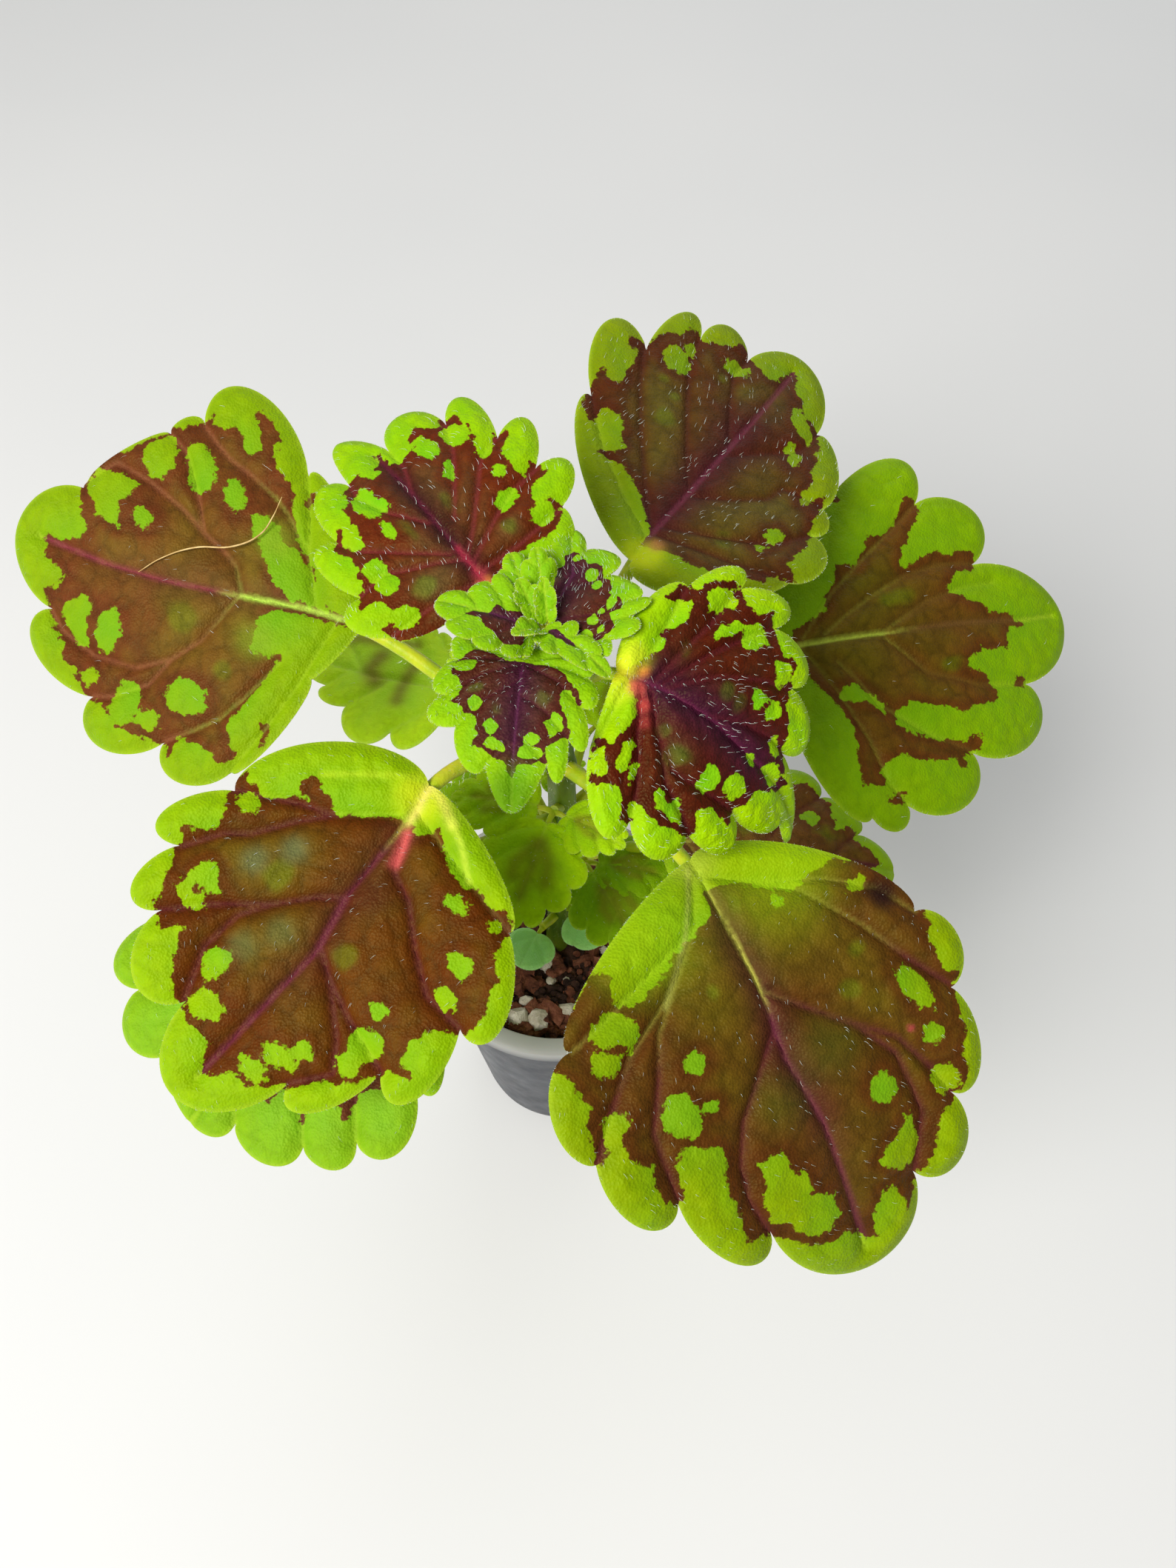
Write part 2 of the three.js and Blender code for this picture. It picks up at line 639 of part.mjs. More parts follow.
function makeLeaf(leaf, stemSleeve) {
  const outline = leaf.shape ? scaledOutline(leaf.shape, leaf.length) : {};
  const toLeaf = plantToLeaf(leaf);
  const radii = leaf.radii ?? PETIOLE_RADII;
  const solid = leafSolid({ ...leaf, ...outline }, stemCentre(leaf.node), toLeaf, radii);
  const clear = solid.subtract(stemSleeve.transform(toLeaf.toArray()));
  const mesh = named(leaf.name, clear, 0x7a8a2a, 0.55);
  mesh.position.set(...leaf.base);
  mesh.rotation.z = radians(leaf.heading);
  return mesh;
}

// ---- Shoots ---------------------------------------------------------------------------------

// A stalk with small leaves at its end, fused into one body and cut clear of the stem.
function makeSpray(name, root, end, leaves, shape, color, stemSleeve) {
  const stalk = new THREE.CatmullRomCurve3([root, root.clone().lerp(end, 0.5), end]);
  let spray = sweptTube(stalk, 3, () => roundSection(SHOOT_STALK_RADIUS, 6), SIDEWAYS);
  for (const [heading, length, pitch] of leaves) {
    const away = new THREE.Vector3(Math.cos(radians(heading)), Math.sin(radians(heading)), 0.3);
    const base = end.clone().addScaledVector(away, 1 + length * 0.12).toArray();
    const leaf = { base, heading, length, pitch, droop: 30, cup: -0.5, arch: 0 };
    Object.assign(leaf, SPRAY_DETAIL, scaledOutline(shape, length));
    const solid = leafSolid(leaf, end, plantToLeaf(leaf), SHOOT_PETIOLE_RADII);
    spray = spray.add(solid.rotate([0, 0, heading]).translate(base));
  }
  return named(name, spray.subtract(stemSleeve), color, 0.6);
}

function makeSprays(rows, shape, color, stemSleeve) {
  return rows.map(({ name, node, end, leaves }) => {
    const tip = new THREE.Vector3(...end);
    return makeSpray(name, stemCentre(node), tip, leaves, shape, color, stemSleeve);
  });
}

// The youngest leaves and the bud, on the end of the stem.
function makeCrown(stemSleeve) {
  const root = stemCentre(STEM_TIP_Z);
  const end = root.clone().setZ(STEM_TIP_Z + CROWN_HEIGHT);
  return makeSpray('shoot_tip', root, end, CROWN_LEAVES, SMALL_SHAPE, 0x7fae20, stemSleeve);
}

// ---- The plant in its pot -------------------------------------------------------------------

const stem = stemSolid(0);
const stemSleeve = stemSolid(GAP);

const coleus = new THREE.Group();
coleus.add(makePot());
coleus.add(makeMix(stemSleeve));
coleus.add(named('main_stem', stem, 0x8fae3c, 0.6));
for (const leaf of LEAVES) coleus.add(makeLeaf(leaf, stemSleeve));
coleus.add(...makeSprays(SIDE_SHOOTS, SMALL_SHAPE, 0x6f9a1c, stemSleeve));
coleus.add(...makeSprays(SEED_LEAVES, SEED_SHAPE, 0x6fae8a, stemSleeve));
coleus.add(makeCrown(stemSleeve));

export default coleus;
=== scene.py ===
# %% [markdown]
# # A potted coleus
# A young coleus stands in a small nursery pot: one square stem, crossed pairs of scalloped leaves in
# lime green and red-brown, small shoots in their axils and a hairy bud on top. The solids of the part
# give every leaf its place and bend. This lesson dresses them: fine leaf blades with quilted faces and
# markings, round petioles, hairs, a turned pot and a crumbly potting mix.

# %% Opening the frame
import math
import random
import bpy
import numpy as np
from mathutils import Matrix, Vector, noise
from mathutils.geometry import delaunay_2d_cdt


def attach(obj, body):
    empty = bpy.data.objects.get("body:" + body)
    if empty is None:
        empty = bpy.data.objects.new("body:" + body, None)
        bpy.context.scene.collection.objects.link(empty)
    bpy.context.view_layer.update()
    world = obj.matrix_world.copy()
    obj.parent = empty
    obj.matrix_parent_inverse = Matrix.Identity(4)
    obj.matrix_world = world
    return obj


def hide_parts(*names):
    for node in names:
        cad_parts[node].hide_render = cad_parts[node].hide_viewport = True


NOISE_SEED = 1

noise.seed_set(NOISE_SEED)
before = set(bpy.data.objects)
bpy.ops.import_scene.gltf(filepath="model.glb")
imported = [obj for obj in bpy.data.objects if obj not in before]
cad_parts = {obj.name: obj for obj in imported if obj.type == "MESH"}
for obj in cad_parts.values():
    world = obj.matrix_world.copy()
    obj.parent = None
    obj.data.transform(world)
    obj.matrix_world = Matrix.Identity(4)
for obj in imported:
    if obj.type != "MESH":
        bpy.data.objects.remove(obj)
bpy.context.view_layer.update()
print("solids in the frame:", len(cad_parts))

# %% [markdown]
# The camera comes first, so that every piece can be judged in the view that matters. It looks steeply
# down on the plant, as a person does who bends over a table. A lens shorter than normal, close to the
# subject, makes the nearest leaves large and the pot under them small.

# %% Camera
MM = 0.001
CAMERA_PLACE = (6.7 * MM, -111.7 * MM, 297.1 * MM)
LOOKING_DOWN = 57.0
LENS = 27.04
SENSOR_WIDTH = 36

bpy.ops.object.camera_add(location=CAMERA_PLACE, rotation=(math.radians(90 - LOOKING_DOWN), 0, 0))
camera = bpy.context.object
camera.name = "camera"
camera.data.lens = LENS
camera.data.sensor_width = SENSOR_WIDTH
camera.data.clip_start = 10 * MM
bpy.context.scene.camera = camera
print("camera looks down by", LOOKING_DOWN, "degrees")

# %% [markdown]
# Leaves look their best in soft daylight: one large light from the front left, as from a window, a
# weaker one from behind, and a pale surround. The floor is a plain pale sheet, a hair's breadth under
# the pot. The standard view transform keeps the strong lime green as it is.

# %% Floor and light
SURROUND = (0.98, 0.98, 0.95, 1)
SURROUND_STRENGTH = 0.38


def soft_light(name, place, tilt, lean, size, power, colour):
    turn = (math.radians(tilt), math.radians(lean), 0)
    bpy.ops.object.light_add(type="AREA", location=place, rotation=turn)
    light = bpy.context.object
    light.name = name
    light.data.size = size
    light.data.energy = power
    light.data.color = colour


world = bpy.context.scene.world or bpy.data.worlds.new("surround")
bpy.context.scene.world = world
world.use_nodes = True
surround = world.node_tree.nodes.get("Background")
surround.inputs["Color"].default_value = SURROUND
surround.inputs["Strength"].default_value = SURROUND_STRENGTH
bpy.context.scene.view_settings.view_transform = "Standard"

soft_light("window_light", (-0.55, -0.6, 0.95), 38, -26, 0.6, 18.5, (1, 0.985, 0.95))
soft_light("back_light", (0.3, 0.9, 0.8), -48, 14, 0.9, 3, (0.94, 0.97, 1))

bpy.ops.mesh.primitive_plane_add(size=4, location=(0, 0, -0.0002))
floor = bpy.context.object
floor.name = "floor"
print("floor and two soft lights are in")

# %% [markdown]
# Materials here are node trees. Small helpers keep them readable: one starts a material with its fixed
# finish, one adds a node and feeds its sockets, and one turns a six-sign paint code into the colour
# values that Blender works with. The others are the few nodes that every finish uses.

# %% Helpers for materials
def paint(code):
    parts = [int(code[i : i + 2], 16) / 255 for i in (0, 2, 4)]
    return np.array([p / 12.92 if p <= 0.04045 else ((p + 0.055) / 1.055) ** 2.4 for p in parts])


def opaque(colour):
    return (*(paint(colour) if isinstance(colour, str) else colour), 1)


def start_material(name, **finish):
    material = bpy.data.materials.new(name)
    material.use_nodes = True
    shader = material.node_tree.nodes["Principled BSDF"]
    for socket, value in finish.items():
        shader.inputs[socket.replace("_", " ")].default_value = value
    return material, material.node_tree, shader


def add_node(tree, kind, inputs=None, **settings):
    node = tree.nodes.new("ShaderNode" + kind)
    for key, value in settings.items():
        setattr(node, key, value)
    for key, value in (inputs or {}).items():
        socket = node.inputs[key]
        if isinstance(value, bpy.types.NodeSocket):
            tree.links.new(value, socket)
        else:
            socket.default_value = opaque(value) if socket.type == "RGBA" else value
    return node


def object_place(tree):
    return add_node(tree, "TexCoord").outputs["Object"]


def grain(tree, scale, detail=3.0, stretch=(1, 1, 1), roughness=0.5):
    place = add_node(tree, "Mapping", {"Vector": object_place(tree), "Scale": stretch}).outputs[0]
    look = {"Vector": place, "Scale": scale, "Detail": detail, "Roughness": roughness}
    return add_node(tree, "TexNoise", look).outputs["Fac"]


def ramp(tree, value, *stops):
    node = add_node(tree, "ValToRGB", {"Fac": value})
    bands = node.color_ramp.elements
    while len(bands) < len(stops):
        bands.new(0.5)
    for band, (place, colour) in zip(bands, stops):
        band.position = place
        band.color = opaque(colour)
    return node.outputs["Color"]


def blend_colours(tree, share, first, second, way="MIX"):
    sockets = {0: share, 6: first, 7: second}
    return add_node(tree, "Mix", sockets, data_type="RGBA", blend_type=way).outputs[2]


def add(tree, first, second):
    return add_node(tree, "Math", {0: first, 1: second}, operation="ADD").outputs[0]


def span(tree, value, low, high, to_low=0.0, to_high=1.0):
    ends = {"Value": value, "From Min": low, "From Max": high, "To Min": to_low, "To Max": to_high}
    return add_node(tree, "MapRange", ends, clamp=True).outputs[0]


def relief(tree, shader, height, depth, strength=1.0):
    bump = add_node(tree, "Bump", {"Height": height, "Distance": depth, "Strength": strength})
    tree.links.new(bump.outputs[0], shader.inputs["Normal"])


floor_paint, tree, shader = start_material("floor_paint", Roughness=0.75)
mottle = ramp(tree, grain(tree, 3), (0.3, (0.66, 0.665, 0.67)), (0.7, (0.70, 0.70, 0.70)))
tree.links.new(mottle, shader.inputs["Base Color"])
floor.data.materials.append(floor_paint)
print("material helpers are ready")

# %% [markdown]
# Modelling helpers come next. Each is something a modeller does by hand again and again: select one
# object alone, apply a modifier, join several meshes, set an object's place into its mesh, and grow a
# form ring by ring. Points are written as text, one pair of millimetres after another.

# %% Helpers for modelling
def numbers(text):
    return np.array([[float(n) for n in pair.split(",")] for pair in text.split()])


def select_only(*objects):
    if bpy.context.object and bpy.context.object.mode != "OBJECT":
        bpy.ops.object.mode_set(mode="OBJECT")
    bpy.ops.object.select_all(action="DESELECT")
    for item in objects:
        item.select_set(True)
    bpy.context.view_layer.objects.active = objects[0]


def apply_modifier(item, kind, **settings):
    select_only(item)
    bpy.ops.object.modifier_add(type=kind)
    modifier = item.modifiers[-1]
    for key, value in settings.items():
        setattr(modifier, key, value)
    bpy.ops.object.modifier_apply(modifier=modifier.name)


def set_in_place(item):
    select_only(item)
    bpy.ops.object.transform_apply(location=True, rotation=True, scale=True)


def edit_all():
    bpy.ops.object.mode_set(mode="EDIT")
    bpy.ops.mesh.select_all(action="SELECT")


def start_ring(sides, radius, height, fill="NOTHING", turn=0.0):
    bpy.ops.mesh.primitive_circle_add(
        vertices=sides, radius=radius * MM, fill_type=fill, location=(0, 0, height * MM),
        rotation=(0, 0, turn),
    )
    ring = bpy.context.object
    set_in_place(ring)
    edit_all()
    return ring


def next_ring(last, radius, height):
    bpy.ops.mesh.extrude_region_move(TRANSFORM_OT_translate={"value": (0, 0, (height - last[1]) * MM)})
    k = radius / last[0]
    bpy.ops.transform.resize(value=(k, k, 1), center_override=(0, 0, height * MM))
    return radius, height


def mesh_object(name, points, faces, *skins):
    mesh = bpy.data.meshes.new(name)
    mesh.from_pydata(points.tolist(), [], faces)
    item = bpy.data.objects.new(name, mesh)
    bpy.context.scene.collection.objects.link(item)
    for skin in skins:
        mesh.materials.append(skin)
    return item


def join(items, name):
    select_only(*items)
    if len(items) > 1:
        bpy.ops.object.join()
    piece = bpy.context.view_layer.objects.active
    piece.name = name
    piece.data.name = name
    return piece


def finish_piece(piece, node):
    set_in_place(piece)
    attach(piece, "root")
    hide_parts(node)
    print(piece.name, "has", sum(len(face.vertices) - 2 for face in piece.data.polygons), "triangles")


print("modelling helpers are ready")

# %% [markdown]
# ## The pot
# The pot is one thin moulded shell: a flat foot, a tapered wall and a thick lip that turns outwards. A
# lathe-turned form starts from a circle. Its ring is extruded and scaled along the profile, from the
# underside up the outside, over the lip and down the inside. Bridging the first ring and the last one
# closes the shell and leaves a round opening in the middle of the floor.

# %% Turned pot shell
POT_HEIGHT = 70
MOUTH_RADIUS = 25
FLOOR_RADIUS = 18.8
FLOOR_TOP = 1.6
ROUND = 144
FIRST_RING = (6.0, 0.9)
POT_PROFILE = """13,0.9 15.6,0.9 16.6,0.15 17.2,0 18.9,0 19.6,0.35 20,1.3 20.25,3 23.2,34 25.9,62.5
26.15,65.2 26.7,65.55 28.1,65.55 28.75,65.9 29,66.7 29,68.5 28.75,69.4 28.1,69.85 27.2,70 26,69.95
25.35,69.75 25,69.1 24.85,67 21.9,33 18.95,3.2 18.4,2 17.4,1.6 6,1.6"""

pot = start_ring(ROUND, *FIRST_RING)
pot.name = "pot_shell"
ring = FIRST_RING
for radius, height in numbers(POT_PROFILE).tolist():
    ring = next_ring(ring, radius, height)
bpy.ops.mesh.select_all(action="DESELECT")
bpy.ops.mesh.select_non_manifold()
bpy.ops.mesh.bridge_edge_loops()
bpy.ops.mesh.select_all(action="SELECT")
bpy.ops.mesh.remove_doubles(threshold=0.01 * MM)
bpy.ops.mesh.normals_make_consistent(inside=False)
bpy.ops.object.mode_set(mode="OBJECT")
print("pot shell has", len(pot.data.vertices), "points")

# %% [markdown]
# ## Leaf blades
# A blade is a thin sheet with a scalloped margin. It is drawn flat first, in millimetres: "along" runs
# from the petiole to the tip, "across" to the left of it. Each lobe of the margin swells between two
# notches. The same few numbers that shape the solid leaf shape this finer one, so both agree.

# %% Drawing the margin
def lobe(start, crest, end, step, fullness=0.55):
    t = np.linspace(0, 1, 161)[:, None]
    line = start + (end - start) * t + (crest - (start + end) / 2) * (4 * t * (1 - t)) ** fullness
    run = np.concatenate([[0], np.cumsum(np.hypot(*np.diff(line, axis=0).T))])
    stops = np.linspace(0, run[-1], max(6, int(run[-1] / step)) + 1)
    return np.stack([np.interp(stops, run, line[:, k]) for k in (0, 1)], 1)


def half_margin(marks, step):
    start = np.zeros(2)
    line = []
    for crest, end in zip(marks[0::2], marks[1::2]):
        line.extend(lobe(start, crest, end, step)[1:])
        start = end
    return line


def margin(leaf, step):
    left = half_margin(leaf["left"], step)
    right = half_margin(leaf["right"], step)
    tip = lobe(left[-1], leaf["tip"], right[-1], step, leaf["tip_fullness"])[1:-1]
    return np.array([np.zeros(2), *left, *tip, *right[::-1]])


def inside(points, loop):
    x, y = points[:, :1], points[:, 1:]
    x0, y0 = loop.T
    x1, y1 = np.roll(loop, -1, 0).T
    rise = np.where(y1 == y0, 1e-9, y1 - y0)
    crossed = ((y0 > y) != (y1 > y)) & (x < (x1 - x0) * (y - y0) / rise + x0)
    return crossed.sum(1) % 2 == 1


def distance(points, line):
    nearest = np.full(len(points), 1e9)
    for a, b in zip(line[:-1], line[1:]):
        d = b - a
        t = np.clip((points - a) @ d / max(d @ d, 1e-9), 0, 1)
        nearest = np.minimum(nearest, np.hypot(*(points - a - t[:, None] * d).T))
    return nearest


def depth_in(points, loop):
    away = distance(points, np.vstack([loop, loop[:1]]))
    return np.where(inside(points, loop), away, -away)


print("margin helpers are ready")

# %% [markdown]
# The sheet inside the margin is filled with even triangles: a slightly shaken honeycomb of points,
# joined by a Delaunay triangulation that respects the margin. Operators such as grid fill leave long
# slivers along lobes like these, so this one sheet is made in mesh code.

# %% Filling the sheet
def honeycomb(loop, step, shaken):
    low, high = loop.min(0), loop.max(0)
    rows = []
    for i, y in enumerate(np.arange(low[1], high[1], step * 0.866)):
        x = np.arange(low[0] + (i % 2) * step / 2, high[0], step)
        rows.append(np.stack([x, np.full_like(x, y)], 1))
    points = np.concatenate(rows)
    points += shaken.uniform(-0.16, 0.16, points.shape) * step
    return points[depth_in(points, loop) > step * 0.55]


def flat_sheet(loop, step, seed):
    inner = honeycomb(loop, step, np.random.default_rng(seed))
    points = [Vector(p) for p in np.vstack([loop, inner])]
    found = delaunay_2d_cdt(points, [], [list(range(len(loop)))], 1, 1e-7)
    flat = np.array([tuple(p) for p in found[0]])
    faces = np.array(found[2])
    a, b, c = (flat[faces[:, k]] for k in (0, 1, 2))
    turn = (b[:, 0] - a[:, 0]) * (c[:, 1] - a[:, 1]) - (b[:, 1] - a[:, 1]) * (c[:, 0] - a[:, 0])
    faces[turn < 0] = faces[turn < 0][:, ::-1]
    return flat, faces


print("sheet helpers are ready")

# %% [markdown]
# A living blade is not flat. It arches down from its base, rolls to one side, twists and cups. Its
# face is quilted: raised between the veins, sunk along them, and turned down at the margin.

# %% Bending and quilting the sheet
def fade(away, width, power=2):
    return np.exp(-((away / width) ** power))


def bend_blade(leaf, flat, lift):
    length = leaf["length"]
    share = flat[:, 0] / length
    start = math.radians(leaf["pitch"])
    turn = math.radians(leaf["droop"]) or 1e-6
    slope = start - turn * share
    tilt = np.radians(leaf["roll"] + leaf["twist"] * share)
    out = length / turn * (math.sin(start) - np.sin(slope))
    up = length / turn * (np.cos(slope) - math.cos(start))
    side = flat[:, 1] + leaf["bend"] * share**2
    rise = lift + leaf["cup"] * (flat[:, 1] / (length / 2)) ** 2
    y = side * np.cos(tilt) - rise * np.sin(tilt)
    h = side * np.sin(tilt) + rise * np.cos(tilt)
    x = out - h * np.sin(slope)
    z = up + h * np.cos(slope)
    way = math.radians(leaf["heading"])
    place = [x * math.cos(way) - y * math.sin(way), x * math.sin(way) + y * math.cos(way), z]
    return (np.stack(place, 1) + leaf["base"]) * MM


def veins_to_notches(leaf):
    lines = [np.array([[0, 0], [leaf["tip"][0] * 0.5, 0.0], leaf["tip"]])]
    for notch in (*leaf["left"][1::2], *leaf["right"][1::2]):
        foot = np.array([max(0.6, notch[0] - 0.9 * abs(notch[1])), 0.0])
        bow = (foot + notch) / 2 + np.array([-0.06 * abs(notch[1]), 0.06 * notch[1]])
        lines.append(np.array([foot, bow, notch]))
    return lines


def cell_edges(flat, size, seed):
    near = [noise.voronoi(Vector((x + seed, y, seed * 0.37)))[0] for x, y in flat / size]
    return np.array([second - first for first, second, *rest in near])


def slow_noise(flat, size, seed):
    return np.array([noise.noise(Vector((x, y, seed * 1.7))) for x, y in flat / size])


def quilt(leaf, flat, loop, veins, seed):
    deep = max(0.35, min(1.0, leaf["length"] / 60))
    rim = np.clip(depth_in(flat, loop), 0, None)
    to_vein = np.min([distance(flat, line) for line in veins], 0)
    pillow = 1.25 * deep * (1 - fade(to_vein, 2.4 * deep, 1.5))
    cells = np.clip(cell_edges(flat, 4.6 * deep, seed) * 2.4, 0, 1)
    small = np.clip(cell_edges(flat, 1.9 * deep, seed + 9) * 2.4, 0, 1)
    groove = -0.4 * deep * fade(to_vein, 0.5)
    fold = -0.2 * deep * fade(rim, 0.6 * deep)
    wave = 0.35 * deep * slow_noise(flat, 11 * deep, seed)
    damp = np.clip(rim / (2.5 * deep), 0, 1)
    raised = pillow + (0.34 * cells + 0.16 * small) * deep * (1 - fade(to_vein, 1.1 * deep))
    return raised * damp * leaf["quilted"] + groove + fold + wave, cells, small


print("bending helpers are ready")

# %% [markdown]
# The markings are painted by form, not by a picture. Loops in the flat blade enclose the dark middle,
# with its forks along the veins; ovals and small loops leave green islands in it. Each point of the
# sheet stores how deep it lies in the green, in the millimetres of a large leaf. The material later
# draws the ragged border where that number passes zero, so the border stays sharp at any distance.
# Each point also stores the two colours that it would have in the dark middle and in the green.

# %% Placing the markings
def in_oval(flat, oval):
    x, y, rx, ry = oval[:4]
    turn = math.radians(oval[4]) if len(oval) > 4 else 0
    dx, dy = flat[:, 0] - x, flat[:, 1] - y
    u = (dx * math.cos(turn) + dy * math.sin(turn)) / rx
    v = (dy * math.cos(turn) - dx * math.sin(turn)) / ry
    return (1 - np.hypot(u, v)) * min(rx, ry)


def green_depth(leaf, flat, seed):
    size = max(0.3, leaf["length"] / 60)
    wobble = np.stack([slow_noise(flat, 2.2 * size, seed + k) for k in (3, 5)], 1)
    flat = flat + 0.5 * size * wobble
    nowhere = np.full(len(flat), -9.0)
    dark = np.max([nowhere, *(depth_in(flat, loop) for loop in leaf["dark"])], 0)
    loops = [depth_in(flat, loop) for loop in leaf["light"]]
    light = np.max([nowhere, *loops, *(in_oval(flat, oval) for oval in leaf["spots"])], 0)
    return np.min([np.maximum(-dark, light), *(-in_oval(flat, oval) for oval in leaf["dots"])], 0)


def coats(colour, *layers):
    for coat, share in layers:
        share = np.clip(share, 0, 1)[:, None]
        colour = colour * (1 - share) + coat * share
    return colour


def reach(flat, x, y, radius):
    return ((flat[:, 0] - x) ** 2 + (flat[:, 1] - y) ** 2) / radius**2


def leaf_tones(leaf, flat, loop, veins, depth, net, seed):
    tone = leaf["tone"]
    size = leaf["length"] / 60
    line = max(0.4, min(1.0, 1.2 * size))
    drift = slow_noise(flat, 9 * size + 1, seed + 20)
    fine = slow_noise(flat, 3 * size + 0.5, seed + 30)
    middle = distance(flat, veins[0]) / line
    sides = np.min([distance(flat, vein) for vein in veins[1:]], 0) / line
    rim = np.clip(depth_in(flat, loop), 0, None)
    along = flat[:, 0] / leaf["length"]
    turned = np.clip((along - tone["pale_to"]) * 12, 0, 1)
    # painted shade: the cell edges of the quilt, where its creases sink, are darkened in both tones
    painted_crease_shade = 0.24 * fade(net[0], 0.3) + 0.16 * fade(net[1], 0.3)
    red = tone["dark"] * np.array([0.85, 0.5, 0.75])
    purple = fade(middle * line, tone["purple_width"]) * np.clip(3.6 - 4.5 * along, 0.15, 1)
    patches = [(tone["olive"], (0.25 + 1.1 * drift + 0.5 * fine) * tone["patchy"])]
    for x, y, radius, share in leaf["olive_at"]:
        patches.append((tone["olive"], np.exp(-reach(flat, x, y, radius)) * share))
    for oval in leaf["faint"]:
        near = np.clip(0.3 + 1.8 * in_oval(flat, oval) / min(oval[2:4]) + 1.2 * fine, 0, 1)
        patches.append((tone["island"] * 0.4 + tone["olive"] * 0.5, near * 0.45))
    dark = coats(
        np.tile(tone["dark"], (len(flat), 1)), *patches,
        (red, 0.7 * fade(depth + 0.6 * line, 1.2 * line)),
        (red, tone["ribbed"] * fade(sides, 1.3)),
        (tone["purple"], tone["purple_share"] * purple),
    )
    dark = coats(
        dark * (1 - painted_crease_shade)[:, None],
        (tone["side_vein"], 0.55 * turned * fade(sides, 0.4)),
        (tone["pale_vein"], 0.22 * (1 - turned) * fade(sides, 0.3)),
        (tone["vein"], 0.8 * turned * fade(middle, 0.42)),
        (tone["pale_vein"], 0.8 * (1 - turned) * fade(middle, 0.25)),
    )
    light = coats(
        np.tile(tone["light"], (len(flat), 1)) * (1 - 0.4 * painted_crease_shade)[:, None],
        (tone["island"], np.clip((rim - 2.5 * size) / (8 * size), 0, 1) * 0.8 + 0.5 * drift),
        (tone["green_vein"], 0.6 * fade(middle, 0.35)),
        (tone["green_vein"], 0.25 * fade(sides, 0.4)),
        # painted light: a pale line along the margin, for light passing through the thin edge
        (tone["green_vein"], 0.5 * fade(rim, 0.4 * line)),
    )
    over = [
        (colour, share * np.exp(-(reach(flat, x, y, radius) ** 1.5)))
        for x, y, radius, share, colour in leaf["blush"]
    ]
    for way, width, share, code in leaf["pale"]:
        over.append((paint(code), share * fade(distance(flat, numbers(way)), width)))
    return coats(dark, *over), coats(light, *over)


print("marking helpers are ready")

# %% [markdown]
# ## Leaf finishes
# Every blade shares three finishes: its face, its underside and its cut edge. The face mixes the two
# stored colours along the ragged border, adds fine flecks, and gets a skin of tiny cells as relief. A
# little light passes into the tissue, which keeps the green bright in its shadows.

# %% Leaf materials
UNDERSIDE_PAINT = "B8CC50"


def leaf_material(name, pale=0.0, border=True):
    material, tree, shader = start_material(
        name, Roughness=0.55, Subsurface_Weight=0.1, Subsurface_Scale=0.0004, Specular_IOR_Level=0.13,
        Specular_Tint=(1.0, 0.95, 0.35, 1), Subsurface_Radius=(0.6, 1.0, 0.2),
    )
    depth, dark, light = (
        add_node(tree, "Attribute", attribute_name=stored).outputs[socket]
        for stored, socket in (("green_depth", "Fac"), ("dark_tone", "Color"), ("light_tone", "Color"))
    )
    coarse = span(tree, grain(tree, 900, 2), 0.3, 0.7, -0.42, 0.42)
    fine = span(tree, grain(tree, 2700, 2, roughness=0.6), 0.3, 0.7, -0.14, 0.14)
    green = span(tree, add(tree, depth, add(tree, coarse, fine)), -0.12, 0.12)
    fleck = span(tree, grain(tree, 4200, 2), 0.3, 0.7)
    slow = span(tree, grain(tree, 420, 3), 0.3, 0.7)
    shaded_dark = blend_colours(tree, 1.0, dark, (0.80, 0.78, 0.80), "MULTIPLY")
    shaded_light = blend_colours(tree, 1.0, light, (0.86, 0.93, 0.9), "MULTIPLY")
    dark = blend_colours(tree, fleck, shaded_dark, dark)
    light = blend_colours(tree, slow, shaded_light, light)
    colour = blend_colours(tree, green if border else 1.0, dark, light)
    if pale:
        colour = blend_colours(tree, pale, colour, UNDERSIDE_PAINT)
    tree.links.new(colour, shader.inputs["Base Color"])
    tree.links.new(span(tree, slow, 0, 1, 0.44, 0.58), shader.inputs["Roughness"])
    skin = add_node(tree, "TexVoronoi", {"Vector": object_place(tree), "Scale": 2600.0})
    relief(tree, shader, skin.outputs["Distance"], 0.16 * MM, 0.65)
    return material


leaf_face = leaf_material("leaf_face")
leaf_underside = leaf_material("leaf_underside", 0.42)
leaf_edge = leaf_material("leaf_edge", 0.8, border=False)
print("leaf materials:", leaf_face.name, leaf_underside.name, leaf_edge.name)

# %% [markdown]
# Petioles and stems are juicy and pale, streaked along their length with green and a little red. The
# hairs that cover all young parts are colourless; against the light they look white.

# %% Stalk and hair materials
def stalk_material(name, pale, green, red):
    material, tree, shader = start_material(
        name, Roughness=0.45, Subsurface_Weight=0.2, Subsurface_Scale=0.001, Specular_IOR_Level=0.3
    )
    streak = ramp(tree, grain(tree, 260, 4, (1, 1, 0.25)), (0.38, pale), (0.62, green))
    flush = span(tree, grain(tree, 90, 3), 0.52, 0.72, 0.0, 0.4)
    tree.links.new(blend_colours(tree, flush, streak, red), shader.inputs["Base Color"])
    relief(tree, shader, grain(tree, 1800, 3, (1, 1, 0.3)), 0.2 * MM, 0.5)
    return material


petiole_skin = stalk_material("petiole_skin", "BEC620", "98B40C", "A87C3C")
stem_skin = stalk_material("stem_skin", "748C1C", "4C6C10", "664028")

hair_white, tree, shader = start_material(
    "hair_white", Roughness=0.35, Subsurface_Weight=0.3, Subsurface_Scale=0.001
)
tint = ramp(tree, grain(tree, 700, 2), (0.35, (0.62, 0.66, 0.5)), (0.65, (0.86, 0.87, 0.8)))
tree.links.new(tint, shader.inputs["Base Color"])
print("stalk and hair materials are ready")

# %% [markdown]
# A hair is a tiny bent cone. Thousands stand on one leaf, so each has only a few faces, and all hairs of
# a leaf are written as one mesh. They lean towards the tip of the leaf and stand denser on young parts.

